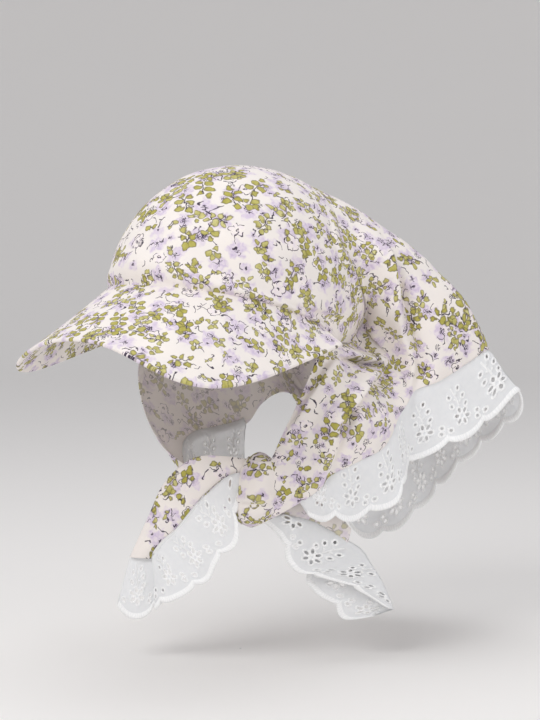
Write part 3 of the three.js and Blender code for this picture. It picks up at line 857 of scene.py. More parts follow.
def drawn_flower(tree, cloth, size, spread, chance, shift, reach):
    """A pale flower drawn in broken ink, with a small open heart: its inside and its ink."""
    place, shown, _ = scattered(tree, cloth, size, spread, chance, shift)
    radius, angle = polar(tree, place)
    petals = add(tree, "Math", five_petals(tree, angle), 0.5, operation="POWER")
    rim = add(tree, "Math", petals, reach * 0.42, reach * 0.55, operation="MULTIPLY_ADD")
    away = add(tree, "Math", rim, radius, operation="SUBTRACT")
    fill = add(tree, "MapRange", away, {"From Min": -0.1, "From Max": 0.3})
    gaps = add(tree, "TexNoise", cloth, {"Scale": 0.16, "Detail": 1.0}, noise_dimensions="2D")
    broken = add(tree, "Math", gaps, 0.44, operation="GREATER_THAN")
    contour = both(tree, line_mask(tree, away, INK_LINE), broken)
    heart = add(tree, "Math", radius, reach * 0.16, operation="SUBTRACT")
    ink = either(tree, contour, line_mask(tree, heart, INK_LINE))
    return both(tree, fill, shown), both(tree, ink, shown)


def strokes(tree, cloth, size, chance, shift, reach, opening):
    """Loose strokes of ink, each a part of a ring."""
    place, shown, _ = scattered(tree, cloth, size, 0.8, chance, shift)
    radius, angle = polar(tree, place)
    away = add(tree, "Math", radius, reach, operation="SUBTRACT")
    opened = add(tree, "Math", angle, opening, operation="GREATER_THAN")
    return both(tree, line_mask(tree, away, INK_LINE), both(tree, opened, shown))


def berries(tree, cloth, size, chance, shift, reach):
    """Small heaps of outlined buds."""
    place, shown, _ = scattered(tree, cloth, size, 0.6, chance, shift)
    radius, _ = polar(tree, place)
    near = add(tree, "Math", radius, reach, operation="LESS_THAN")
    cells = {"Scale": 0.5, "Randomness": 0.8}
    grains = add(tree, "TexVoronoi", cloth, cells, voronoi_dimensions="2D")
    away = add(tree, "Math", grains.outputs["Distance"], 0.42, operation="SUBTRACT")
    ring = line_mask(tree, away, 0.2)
    return both(tree, ring, both(tree, near, shown))


def over(tree, mask, below, above):
    """One colour under another, which shows by the mask's share."""
    sockets = {0: mask, MIX_A: below, MIX_B: above}
    return add(tree, "Mix", sockets, data_type="RGBA").outputs[MIX_COLOUR]


def printed_cotton(name, colours, wrong_side=False):
    """Printed cotton lawn, plain woven and washed soft: a matte face with a faint nap, whose print
    lies in the thread, crisp in its ink lines and bleeding in its washes. The wrong side shows the
    same print paler."""
    look = {
        "Roughness": 0.82,
        "Specular IOR Level": 0.3,
        "Sheen Weight": 0.12,
        "Sheen Roughness": 0.5,
    }
    material, tree, shader = new_material(name, look)
    cloth = cloth_places(tree)
    broad = add(tree, "TexNoise", cloth, {"Scale": 0.05, "Detail": 2.0}, noise_dimensions="2D")
    pools = add(tree, "TexNoise", cloth, {"Scale": 0.32, "Detail": 3.0}, noise_dimensions="2D")
    pools = add(tree, "MapRange", pools, {"From Min": 0.32, "From Max": 0.68})
    colour = over(tree, broad, colours.ground, colours.ground_cool)
    ink = None
    for row in WASHED_FLOWERS:
        wash, star = washed_flower(tree, cloth, *row)
        deep = over(tree, pools, colours.lilac_pale, colours.lilac)
        colour = over(tree, both(tree, wash, WASH_STRENGTH), colour, deep)
        ink = either(tree, ink, star) if ink else star
    petals, contour = drawn_flower(tree, cloth, *DRAWN_FLOWER)
    blush = over(tree, pools, colours.ground, colours.blush)
    colour = over(tree, both(tree, petals, PETAL_STRENGTH), colour, blush)
    around = add(tree, "Math", 1.0, petals, operation="SUBTRACT")
    ink = either(tree, both(tree, ink, around), contour)
    for row in STROKES:
        ink = either(tree, ink, strokes(tree, cloth, *row))
    ink = either(tree, ink, berries(tree, cloth, *BERRIES))
    for row in SPRAYS:
        fill, outline, stem, tone = spray(tree, cloth, *row)
        leaf = over(tree, tone, colours.leaf, colours.leaf_light)
        leaf = over(tree, both(tree, pools, 0.6), leaf, colours.leaf_dark)
        colour = over(tree, ink, colour, colours.ink)
        colour = over(tree, fill, colour, leaf)
        line = both(tree, outline, LEAF_LINE_STRENGTH)
        colour = over(tree, line, colour, colours.leaf_line)
        ink = both(tree, stem, add(tree, "Math", 1.0, fill, operation="SUBTRACT"))
    colour = over(tree, ink, colour, colours.ink)
    if wrong_side:
        colour = over(tree, 0.5, colour, colours.ground_cool)
    tree.links.new(colour, shader.inputs["Base Color"])
    weave_bump(tree, shader, cloth)
    return material


# The board's paint is greyer in places: that grey and its share
BOARD_GREYER = linear("#f3f1ee")
BOARD_MOTTLE = 0.04
# Threads stand 0.3 mm apart on the real cloth and its stitches 0.4 mm apart, too fine to show, so
# they are drawn this many millimetres apart
WEAVE_PITCH = 1.3817
STITCH_PITCH = 1.7765
# A wave texture of scale 1 has this many bands to a unit
WAVE_BANDS = 20 / TAU


def weave_bump(tree, shader, cloth):
    """The relief of the weave, with slubs in its threads."""
    spacing = {"Scale": 1 / (WEAVE_PITCH * WAVE_BANDS), "Distortion": 1.5}
    weft = add(tree, "TexWave", cloth, spacing, bands_direction="X")
    warp = add(tree, "TexWave", cloth, spacing, bands_direction="Y")
    threads = both(tree, weft, warp)
    slub = add(tree, "TexNoise", cloth, {"Scale": 0.9, "Detail": 3.0}, noise_dimensions="2D")
    height = add(tree, "Math", threads, slub, operation="ADD")
    bump = add(tree, "Bump", {"Strength": 0.12, "Distance": 0.12 * MM, "Height": height})
    tree.links.new(bump.outputs[0], shader.inputs["Normal"])


def eyelet_cotton(name, colours):
    """White cotton batiste, bleached and finely woven: matte, a little see-through and cool in
    its shadows."""
    look = {
        "Roughness": 0.8,
        "Specular IOR Level": 0.3,
        "Sheen Weight": 0.1,
        "Subsurface Weight": 0.6,
        "Subsurface Radius": (1.0, 1.0, 1.0),
        "Subsurface Scale": 1.5 * MM,
    }
    material, tree, shader = new_material(name, look)
    cloth = cloth_places(tree)
    slub = add(tree, "TexNoise", cloth, {"Scale": 0.25, "Detail": 4.0}, noise_dimensions="2D")
    colour = over(tree, slub, colours.batiste, colours.batiste_cool)
    tree.links.new(colour, shader.inputs["Base Color"])
    weave_bump(tree, shader, cloth)
    return material


def embroidery_thread(name, colours):
    """Mercerised cotton thread in close satin stitch: whiter than the cloth, with a soft gloss along the
    threads and painted shade in the grooves between its stitches."""
    material, tree, shader = new_material(name, {"Roughness": 0.55, "Sheen Weight": 0.15})
    cloth = cloth_places(tree)
    spacing = {"Scale": 1 / (STITCH_PITCH * WAVE_BANDS), "Distortion": 2.0}
    stitch = add(tree, "TexWave", cloth, spacing, bands_direction="X")
    # Painted shade: the grooves between stitches take the batiste's greyer colour, following the
    # stitches' bump
    groove_shaded_stitch = add(tree, "Math", stitch, 0.6, 0.4, operation="MULTIPLY_ADD")
    colour = over(tree, groove_shaded_stitch, colours.batiste, colours.thread)
    tree.links.new(colour, shader.inputs["Base Color"])
    bump = add(tree, "Bump", {"Strength": 0.35, "Distance": 0.2 * MM, "Height": stitch})
    tree.links.new(bump.outputs[0], shader.inputs["Normal"])
    return material


def painted_board(name, colour):
    """Sprayed matte board of a studio sweep: even, pale and without gloss."""
    look = {"Roughness": 0.9, "Specular IOR Level": 0.2}
    material, tree, shader = new_material(name, look)
    grain = add(tree, "TexNoise", {"Scale": 40.0, "Detail": 3.0})
    shade = over(tree, both(tree, grain, BOARD_MOTTLE), colour, BOARD_GREYER)
    tree.links.new(shade, shader.inputs["Base Color"])
    return material


def material(name, maker, *words):
    """A material that several pieces share is made once."""
    return bpy.data.materials.get(name) or maker(name, *words)


def cloth_materials(context):
    colours = context.scene.cap_colours
    return [
        material("Cotton lawn, printed", printed_cotton, colours),
        material("Cotton lawn, printed, wrong side", printed_cotton, colours, True),
    ]


def trim_materials(context):
    colours = context.scene.cap_colours
    return [
        material("Cotton batiste, bleached", eyelet_cotton, colours),
        material("Cotton thread, mercerised satin stitch", embroidery_thread, colours),
    ]


# Meshes
def new_object(name, data):
    """Puts an object with this data into the scene."""
    made = bpy.data.objects.new(name, data)
    bpy.context.collection.objects.link(made)
    return made


def grid_faces(rows, columns):
    corner = np.arange(rows * columns).reshape(rows, columns)
    return np.stack(
        [corner[:-1, :-1], corner[1:, :-1], corner[1:, 1:], corner[:-1, 1:]], axis=-1
    ).reshape(-1, 4)


def vertex_normals(places, faces):
    corners = places[faces]
    face_normals = np.cross(corners[:, 2] - corners[:, 0], corners[:, -1] - corners[:, 1])
    total = np.zeros_like(places)
    for k in range(faces.shape[1]):
        np.add.at(total, faces[:, k], face_normals)
    return unit(total)


def rim_edges(faces):
    """The edges that only one face has, in that face's direction."""
    count = faces.shape[1]
    edges = np.concatenate([faces[:, [k, (k + 1) % count]] for k in range(count)])
    ends = np.sort(edges, axis=1)
    _, where, found = np.unique(ends, axis=0, return_inverse=True, return_counts=True)
    return edges[found[where.ravel()] == 1]


def cloth_object(
    name, places, faces, flat, materials, thick, relief=0.0, slots=None, sides=(0, 1), rim_steps=1
):
    """A sheet with two faces and a rim that is round where it has more steps than one. relief
    lifts both faces, slots are the faces' materials and sides the materials of the front and the
    back where slots isn't given."""
    normals = vertex_normals(places, faces)
    lift = (thick / 2 + np.broadcast_to(relief, len(places)))[:, None]
    count = len(places)
    layers = [places + normals * lift, places - normals * lift]
    rim = rim_edges(faces)
    way = unit(places[rim[:, 1]] - places[rim[:, 0]])
    outward = np.zeros_like(places)
    for end in (0, 1):
        np.add.at(outward, rim[:, end], np.cross(way, normals[rim[:, end]]))
    outward = unit(outward)
    levels = [np.arange(count)]
    for k in range(1, rim_steps):
        turn = np.pi * k / rim_steps
        layers.append(places + (normals * math.cos(turn) + outward * math.sin(turn)) * lift)
        levels.append(np.arange(count) + (k + 1) * count)
    levels.append(np.arange(count) + count)
    wall = []
    for above, below in zip(levels[:-1], levels[1:]):
        corners = [above[rim[:, 1]], above[rim[:, 0]], below[rim[:, 0]], below[rim[:, 1]]]
        wall.append(np.stack(corners, axis=-1))
    wall = np.concatenate(wall)
    solid = np.concatenate(layers)
    used = np.zeros(len(solid), dtype=bool)
    used[: 2 * count] = True
    used[wall.ravel()] = True
    number = np.cumsum(used) - 1
    all_faces = faces.tolist() + (faces[:, ::-1] + count).tolist() + number[wall].tolist()
    mesh = bpy.data.meshes.new(name)
    mesh.from_pydata((solid[used] * MM).tolist(), [], all_faces)
    front = np.full(len(faces), sides[0]) if slots is None else slots
    back = np.full(len(faces), sides[1]) if slots is None else slots
    edge = np.full(len(wall), sides[0] if slots is None else slots.max())
    mesh.polygons.foreach_set("material_index", np.concatenate([front, back, edge]).astype(np.int32))
    mesh.polygons.foreach_set("use_smooth", np.ones(len(all_faces), dtype=bool))
    layer = mesh.uv_layers.new(name="cloth")
    corner = np.empty(len(mesh.loops), dtype=np.int32)
    mesh.loops.foreach_get("vertex_index", corner)
    layer.data.foreach_set("uv", (np.tile(flat, (len(layers), 1))[used][corner] * MM).ravel())
    for entry in materials:
        mesh.materials.append(entry)
    mesh.update()
    mesh.validate()
    return new_object(name, mesh)


def lay_flat(grid):
    """Lays a grid of places flat with as little stretch as it can, at its real size."""
    rows, columns = grid.shape[:2]
    faces = grid_faces(rows, columns)
    mesh = bpy.data.meshes.new("flat")
    mesh.from_pydata((grid.reshape(-1, 3) * MM).tolist(), [], faces.tolist())
    mesh.uv_layers.new(name="flat")
    piece = new_object("flat", mesh)
    bpy.context.view_layer.objects.active = piece
    piece.select_set(True)
    bpy.ops.object.mode_set(mode="EDIT")
    bpy.ops.mesh.select_all(action="SELECT")
    bpy.ops.uv.unwrap(method="ANGLE_BASED", margin=0)
    bpy.ops.object.mode_set(mode="OBJECT")
    corner = np.empty(len(mesh.loops), dtype=np.int32)
    mesh.loops.foreach_get("vertex_index", corner)
    places = np.empty(2 * len(corner))
    mesh.uv_layers["flat"].data.foreach_get("uv", places)
    flat = np.zeros((rows * columns, 2))
    flat[corner] = places.reshape(-1, 2)
    bpy.data.objects.remove(piece)
    bpy.data.meshes.remove(mesh)
    solid = surface_area(grid.reshape(-1, 3), faces)
    level = surface_area(np.pad(flat, ((0, 0), (0, 1))), faces)
    flat = flat.reshape(rows, columns, 2) * math.sqrt(solid / level)
    ahead = (flat[-1] - flat[0]).mean(0)
    ahead = ahead / np.linalg.norm(ahead)
    flat = flat @ np.array([[ahead[0], -ahead[1]], [ahead[1], ahead[0]]])
    if (flat[:, -1] - flat[:, 0]).mean(0)[1] < 0:
        flat[..., 1] *= -1
    return flat


def surface_area(places, faces):
    """The area of a mesh of quads or of triangles."""
    corners = places[faces]
    crossed = np.cross(corners[:, 2] - corners[:, 0], corners[:, -1] - corners[:, 1])
    return np.linalg.norm(crossed, axis=1).sum() / 2


def finer(coarse, rows, columns):
    """Fills a coarse grid of values out to a finer one over the same square."""
    high, wide = coarse.shape[:2]
    i = np.linspace(0, high - 1, rows)
    j = np.linspace(0, wide - 1, columns)
    i0 = np.minimum(i.astype(int), high - 2)
    j0 = np.minimum(j.astype(int), wide - 2)
    p = (i - i0)[:, None, None]
    q = (j - j0)[None, :, None]
    top = mix(coarse[i0][:, j0], coarse[i0][:, j0 + 1], q)
    low = mix(coarse[i0 + 1][:, j0], coarse[i0 + 1][:, j0 + 1], q)
    return mix(top, low, p)


def printed_sheet(context, name, grid, thick, stride=5, **sheet):
    """A sheet of printed cloth from a grid of places."""
    rows, columns = grid.shape[:2]
    coarse_rows = np.linspace(0, rows - 1, max(rows // stride, 8)).round().astype(int)
    coarse_columns = np.linspace(0, columns - 1, max(columns // stride, 8)).round().astype(int)
    flat = lay_flat(grid[np.ix_(coarse_rows, coarse_columns)])
    flat = finer(flat, rows, columns)
    faces = grid_faces(rows, columns)
    piece = cloth_object(
        name, grid.reshape(-1, 3), faces, flat.reshape(-1, 2), cloth_materials(context), thick, **sheet
    )
    return piece, surface_area(grid.reshape(-1, 3), faces) * MM**2, flat


def mesh_grid(rows, columns, low=(0.0, 0.0), high=(1.0, 1.0)):
    a = np.linspace(low[0], high[0], rows)
    b = np.linspace(low[1], high[1], columns)
    return np.meshgrid(a, b, indexing="ij")


def dress(piece, node):
    """Hands a finished piece over to the frame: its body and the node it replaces."""
    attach(piece, "root")
    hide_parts(node)


def cloth_thickness(context):
    return context.scene.cap_sizes.cloth / MM


def printed_piece(context, node, places, stride=5):
    """Builds a piece of printed cloth from a grid of places and hands it over to the frame."""
    thick = cloth_thickness(context)
    piece, area, flat = printed_sheet(context, node, places, thick, stride)
    dress(piece, node)


# The eyelet trim is laid out flat, along its edge and in from its free edge, in millimetres. The
# holes are a flower's petals and smaller eyelets, each with a stitched rim.
PETALS = 6
PETAL = (3.7, 2.3)
PETAL_RING = 4.5
FLOWER_IN = 17.5
FLOWER_TURN = 0.3
LEAF_EYELET = (2.6, 1.9)
EDGE_TILT = 0.8
RIM = 1.45
BORDER = 4.6
STEM_WIDTH = 1.25
# Heights of the stitched border and of the other stitches, and the border's middle
BORDER_HEIGHT = 0.8
STITCH_HEIGHT = 0.7
BORDER_MIDDLE = 2.2
# Spacing of the mesh along the edges, rows of it that follow the scallops, and spacing of the rest
EDGE_STEP = 1.1
EDGE_ROWS = (0.9, BORDER_MIDDLE, 3.6, BORDER, BORDER + 0.7)
FILL_STEP = 2.3
FILL_FROM = 7
# Room left between the rims and the trim's edges, between a stem and the rims, and between a stem
# and the sewn edge, and how far below its eyelet a stalk starts and ends
HOLE_ROOM = 0.6
STEM_ROOM = 0.3
STEM_END_ROOM = 3
STALK = (4.5, 1.0)
# The eyelet cloth's thickness as a share of the printed cloth's
BATISTE_SHARE = 0.6
# Eyelets of the sprig above the flower: distance along from its middle, distance in, and tilt
SPRIG = table(
    "along inward tilt",
    [
        [-5.6, 25.0, 50],
        [6.2, 27.0, -50],
        [-5.0, 31.5, 40],
        [6.6, 34.0, -40],
        [-2.6, 38.0, 25],
    ],
)
STEM = table("along inward", [[0, 24], [0.4, 28], [1.4, 33], [3.2, 40]])
EDGE_EYELETS = table("along inward", [[-11.5, 11.5], [-12.6, 15.5], [11.5, 11.5]])


def scallop_edge(s, pitch):
    """How far the free edge dips in between scallops."""
    return SCALLOP_DIP * (1 - np.abs(np.sin(np.pi * s / pitch)) ** 0.6)


def eyelets(length, depth):
    """The holes of a trim: middle along, middle in, half length, half width and tilt of each."""
    count = max(round(length / SCALLOP), 1)
    pitch = length / count
    holes = []
    for k in range(count):
        middle = (k + 0.5) * pitch
        for j in range(PETALS):
            angle = TAU * j / PETALS + FLOWER_TURN
            along = middle + PETAL_RING * math.cos(angle)
            inward = FLOWER_IN + PETAL_RING * math.sin(angle)
            holes.append([along, inward, PETAL[0] / 2, PETAL[1] / 2, angle])
        for along, inward, tilt in zip(*SPRIG.values()):
            angle = math.radians(90 + tilt)
            holes.append([middle + along, inward, LEAF_EYELET[0] / 2, LEAF_EYELET[1] / 2, angle])
        for along, inward in zip(*EDGE_EYELETS.values()):
            holes.append([middle + along, inward, LEAF_EYELET[0] / 2, LEAF_EYELET[1] / 2, EDGE_TILT])
    reach = PETAL[0] / 2 + RIM + HOLE_ROOM
    kept = [
        hole
        for hole in holes
        if reach < hole[0] < length - reach and hole[1] < np.interp(hole[0], *depth) - reach
    ]
    return np.array(kept), pitch


def oval(hole, grown, count=12):
    angle = TAU * np.arange(count) / count
    a = (hole[2] + grown) * np.cos(angle)
    b = (hole[3] + grown) * np.sin(angle)
    tilt = hole[4]
    along = hole[0] + a * math.cos(tilt) - b * math.sin(tilt)
    inward = hole[1] + a * math.sin(tilt) + b * math.cos(tilt)
    return np.stack([along, inward], axis=-1)


def oval_distance(places, hole):
    """How far each place lies outside an oval, about."""
    d = places - hole[:2]
    a = d[:, 0] * math.cos(hole[4]) + d[:, 1] * math.sin(hole[4])
    b = -d[:, 0] * math.sin(hole[4]) + d[:, 1] * math.cos(hole[4])
    level = np.sqrt((a / hole[2]) ** 2 + (b / hole[3]) ** 2)
    return (level - 1) * (hole[2] + hole[3]) / 2


def line_distance(places, line):
    start, end = line[:-1], line[1:]
    way = end - start
    q = ((places[:, None] - start) * way).sum(-1) / (way**2).sum(-1)
    foot = start + np.clip(q, 0, 1)[..., None] * way
    return np.linalg.norm(places[:, None] - foot, axis=-1).min(1)


def embroidered_lines(length, pitch):
    """The stem of each sprig and a stalk from it to each of its eyelets, in a raised stitch."""
    lines = []
    for middle in np.arange(pitch / 2, length, pitch):
        inward = np.linspace(STEM["inward"][0], STEM["inward"][-1], 12)
        lines.append((middle, smooth_point(STEM, "inward", inward, "along inward") + [middle, 0]))
        for along, high in zip(SPRIG["along"], SPRIG["inward"]):
            low = high - STALK[0]
            root = np.array([smooth(STEM, "inward", low, "along"), low])
            tip = np.array([along * 0.8, high - STALK[1]])
            share = np.linspace(0.15, 1, 5)[:, None]
            lines.append((middle, mix(root, tip, share) + [middle, 0]))
    return lines


def eyelet_cloth(length, depth):
    """Cuts the flat trim: its places, its triangles and the height of its embroidery."""
    holes, pitch = eyelets(length, depth)
    s = np.linspace(0, length, max(int(length / EDGE_STEP), 2))
    free = np.stack([s, scallop_edge(s, pitch)], axis=-1)
    sewn = np.stack([s, np.interp(s, *depth)], axis=-1)
    points = [free, sewn[::-1]]
    edges = [[k, (k + 1) % (2 * len(s))] for k in range(2 * len(s))]
    placed = 2 * len(s)
    for hole in holes:
        for grown in (0, RIM / 2, RIM):
            ring = oval(hole, grown)
            edges += [[placed + k, placed + (k + 1) % len(ring)] for k in range(len(ring))]
            points.append(ring)
            placed += len(ring)
    extra = [free + [0, inward] for inward in EDGE_ROWS]
    stems = []
    for middle, line in embroidered_lines(length, pitch):
        clear = np.array([oval_distance(line, hole) for hole in holes]).min(0) > RIM + STEM_ROOM
        clear &= (line[:, 0] > 1) & (line[:, 0] < length - 1)
        line = line[clear & (line[:, 1] < np.interp(middle, *depth) - STEM_END_ROOM)]
        if len(line) > 1:
            stems.append(line)
            way = np.gradient(line, axis=0)
            aside = unit(np.stack([way[:, 1], -way[:, 0]], axis=-1)) * STEM_WIDTH / 2
            for offset in (-1, 0, 1):
                edges += [[placed + k, placed + k + 1] for k in range(len(line) - 1)]
                points.append(line + offset * aside)
                placed += len(line)
    a = np.arange(FILL_STEP / 2, length, FILL_STEP)
    b = np.arange(FILL_FROM, depth[1].max(), FILL_STEP)
    extra.append(np.stack([side.ravel() for side in np.meshgrid(a, b)], axis=-1))
    extra = np.concatenate(extra)
    room = np.interp(extra[:, 0], *depth) - 0.5
    keep = (extra[:, 0] > 0.4) & (extra[:, 0] < length - 0.4) & (extra[:, 1] < room)
    for hole in holes:
        keep &= oval_distance(extra, hole) > RIM + 0.25
    for line in stems:
        keep &= line_distance(extra, line) > STEM_WIDTH
    points.append(extra[keep])
    flat = np.concatenate(points)
    verts, _, faces, *_ = geometry.delaunay_2d_cdt(
        [Vector(p) for p in flat.tolist()], edges, [], 1, 1e-4
    )
    places = np.array([v[:] for v in verts])
    faces = np.array([face for face in faces if len(face) == 3])
    middle = places[faces].mean(1)
    open_faces = np.zeros(len(faces), dtype=bool)
    inward = places[:, 1] - scallop_edge(places[:, 0], pitch)
    off = np.clip(np.abs(inward - BORDER_MIDDLE) / (BORDER / 2), 0, 1)
    relief = BORDER_HEIGHT * (1 - off**4)
    raised = (middle[:, 1] - scallop_edge(middle[:, 0], pitch)) < BORDER
    for line in stems:
        relief = np.maximum(relief, STITCH_HEIGHT * (line_distance(places, line) < 0.1))
        raised |= line_distance(middle, line) < STEM_WIDTH / 2
    for hole in holes:
        open_faces |= oval_distance(middle, hole) < -0.05
        raised |= oval_distance(middle, hole) < RIM * 0.98
        off = (oval_distance(places, hole) - RIM / 2) / (RIM * 0.3)
        relief = np.maximum(relief, STITCH_HEIGHT * np.exp(-(off**2)))
    faces = faces[~open_faces]
    raised = raised[~open_faces]
    corners = places[faces]
    turned = np.cross(corners[:, 1] - corners[:, 0], corners[:, 2] - corners[:, 0]) < 0
    faces[turned] = faces[turned][:, ::-1]
    return places, faces, relief, raised.astype(int)


def eyelet_piece(context, name, length, depth, surface, turned=False):
    """Lays a cut trim onto its place on the cap."""
    flat, faces, relief, slots = eyelet_cloth(length, depth)
    places = surface(flat[:, 0], flat[:, 1])
    if turned:
        faces = faces[:, ::-1]
    thick = cloth_thickness(context) * BATISTE_SHARE
    materials = trim_materials(context)
    piece = cloth_object(name, places, faces, flat, materials, thick, relief, slots)
    dress(piece, name)


# Sizes and colours that a user may change
class CapSizes(bpy.types.PropertyGroup):
    cloth: FloatProperty(
        name="Cloth",
        description="Thickness of one layer of cotton, with its turned edge",
        default=0.8 * MM,
        min=0.3 * MM,
        max=1.6 * MM,
        subtype="DISTANCE",
        unit="LENGTH",
    )
    peak: FloatProperty(
        name="Peak thickness",
        description="Thickness of the stiffened peak with its cover",
        default=PEAK_THICKNESS * MM,
        min=1.5 * MM,
        max=4 * MM,
        subtype="DISTANCE",
        unit="LENGTH",
    )
    floor_gap: FloatProperty(
        name="Floor gap",
        description="Height of the lowest point of the cap over the studio floor",
        default=0.03,
        min=0.0,
        max=0.5,
        subtype="DISTANCE",
        unit="LENGTH",
    )


def colour_property(name, description, code):
    return FloatVectorProperty(
        name=name,
        description=description,
        subtype="COLOR",
        size=4,
        min=0,
        max=1,
        default=linear(code),
    )


class CapColours(bpy.types.PropertyGroup):
    ground: colour_property("Ground", "Ground of the printed cotton", "#f7efe8")
    ground_cool: colour_property("Ground, cool", "Ground where the dye bath left it greyer", "#ebe5e2")
    lilac: colour_property("Lilac", "Wash of the print's flowers", "#cfbfd8")
    lilac_pale: colour_property("Lilac, pale", "Wash where it ran thin", "#e8dde6")
    blush: colour_property("Blush", "Faint wash inside the drawn flowers", "#efe4ea")
    leaf: colour_property("Leaf", "Leaves of the print", "#b9b156")
    leaf_light: colour_property("Leaf, light", "Palest leaves", "#dcd69a")
    leaf_dark: colour_property("Leaf, dark", "Leaves where the colour pooled", "#9e963e")
    leaf_line: colour_property("Leaf, outline", "Outline of the leaves", "#665e38")
    ink: colour_property("Ink", "Drawn lines of the print", "#43384a")
    batiste: colour_property("Batiste", "White eyelet cotton", "#edeeef")
    batiste_cool: colour_property("Batiste, cool", "White eyelet cotton in its thin places", "#e4e6e9")
    thread: colour_property("Thread", "Embroidery thread", "#ffffff")
    board: colour_property("Board", "Studio sweep", "#f7f5f3")


# Operators
class BANDANA_OT_crown(bpy.types.Operator):
    """Build the crown of printed cotton"""

    bl_idname = "bandana.crown"
    bl_label = "Crown"
    bl_options = {"REGISTER", "UNDO"}

    def execute(self, context):
        u, v = mesh_grid(261, 111, (-1.0, 0.0), (1.0, 1.0))
        places = crown_point(u, v)
        normals = head_normal(places)
        puff = PUFF_HEIGHT * np.exp(-(((v - PUFF_MIDDLE) / PUFF_WIDTH) ** 2)) * (1 - u**4) ** 0.5
        puff = puff * mix(PUFF_RIGHT_SHARE, 1, step(u, -0.5, 0.1))
        worn = wear(places, CROWN_WEAR)
        calm = step(v, 0, 0.1) * step(1 - v, 0, 0.1)
        lists = [grid.reshape(-1, 3) for grid in (places, normals)]
        creased = raise_folds(*lists, crown_point, CROWN_FOLDS).reshape(places.shape)
        raised = creased + normals * (puff * step(v, 0, 0.05) + worn * calm)[..., None]
        held = (step(v, 0, 0.04) * step(1 - v, 0, 0.03))[..., None]
        places = mix(places, raised, held)
        printed_piece(context, "crown", places)
        return {"FINISHED"}


class BANDANA_OT_peak(bpy.types.Operator):
    """Build the stiffened peak"""

    bl_idname = "bandana.peak"
    bl_label = "Peak"
    bl_options = {"REGISTER", "UNDO"}

    def execute(self, context):
        u, v = mesh_grid(241, 49, (-1.0, 0.0), (1.0, 1.0))
        places = peak_point(u, v)[::-1]
        thick = context.scene.cap_sizes.peak / MM
        piece, *_ = printed_sheet(context, "peak", places, thick, sides=(0, 0), rim_steps=5)
        dress(piece, "peak")
        return {"FINISHED"}


class BANDANA_OT_kerchief(bpy.types.Operator):
    """Build the printed kerchief with its two straps"""

    bl_idname = "bandana.kerchief"
    bl_label = "Kerchief"
    bl_options = {"REGISTER", "UNDO"}

    def execute(self, context):
        length = np.linspace(0, HEM_LENGTH[-1], KERCHIEF_COLUMNS)
        by_hem = np.interp(length, HEM_LENGTH, HEM_AT)
        at = mix(by_hem, np.linspace(-2, 2, KERCHIEF_COLUMNS), EVEN_SHARE)
        at = np.concatenate([at[at < WRAP_FROM], np.linspace(WRAP_FROM, 2, WRAP_COLUMNS)])
        a, b = np.meshgrid(at, np.linspace(0, 1, KERCHIEF_ROWS), indexing="ij")
        places = kerchief_places(a.ravel(), b.ravel()).reshape(*a.shape, 3)
        printed_piece(context, "kerchief", places)
        return {"FINISHED"}


class BANDANA_OT_trims(bpy.types.Operator):
    """Build the eyelet trims along the kerchief"""

    bl_idname = "bandana.trims"
    bl_label = "Eyelet trims"
    bl_options = {"REGISTER", "UNDO"}

    def execute(self, context):
        for name, (start, end) in TRIMS.items():
            first, last = np.interp([start, end], HEM_AT, HEM_LENGTH)
            length = float(last - first)
            s = np.linspace(0, length, 120)
            at = np.interp(first + s, HEM_LENGTH, HEM_AT)
            wide = kerchief_base(at, np.full(len(at), 2.0)) - kerchief_base(at, np.ones(len(at)))
            wide = np.linalg.norm(wide, axis=1)

            def surface(along, inward, first=first, s=s, wide=wide):
                at = np.interp(first + along, HEM_LENGTH, HEM_AT)
                share = 1 - inward / np.interp(along, s, wide)
                base = kerchief_places(at, 1 + share)
                wave = np.sin(TAU * (first + along) / RUFFLE_LENGTH) * np.clip(share, 0, 1) ** 2
                normals = surface_normal(kerchief_base, at, 1 + share)
                tucked = TUCK * step(share, 0.12, 0)
                return base + normals * (RUFFLE_HEIGHT * wave - tucked)[:, None]

            eyelet_piece(context, name, length, (s, wide + 2), surface)
        return {"FINISHED"}


class BANDANA_OT_knot(bpy.types.Operator):
    """Build the knot at the throat"""

    bl_idname = "bandana.knot"
    bl_label = "Knot"
    bl_options = {"REGISTER", "UNDO"}

    def execute(self, context):
        share, around = mesh_grid(64, 97, (0.001, TAU), (0.999, 0.0))
        places = knot_base(share, around)
        normals = unit(np.cross(np.gradient(places, axis=0), np.gradient(places, axis=1)))
        pleat = np.cos(5 * around + 6 * share) + 0.5 * np.cos(9 * around - 5 * share + 1)
        places = places + normals * (KNOT_PLEAT * pleat * np.sin(np.pi * share))[..., None]
        printed_piece(context, "knot", places, 3)
        return {"FINISHED"}


class BANDANA_OT_tie_ends(bpy.types.Operator):
    """Build the two printed tie ends below the knot"""

    bl_idname = "bandana.tie_ends"
    bl_label = "Tie ends"
    bl_options = {"REGISTER", "UNDO"}

    def execute(self, context):
        for name, rows in (("tie_end_left", LEFT_END), ("tie_end_right", RIGHT_END)):
            along, across = mesh_grid(121, 41)
            places = tie_base(rows)(along, across)
            if name == "tie_end_right":
                places = places[::-1]
            printed_piece(context, name, places, 3)
        return {"FINISHED"}


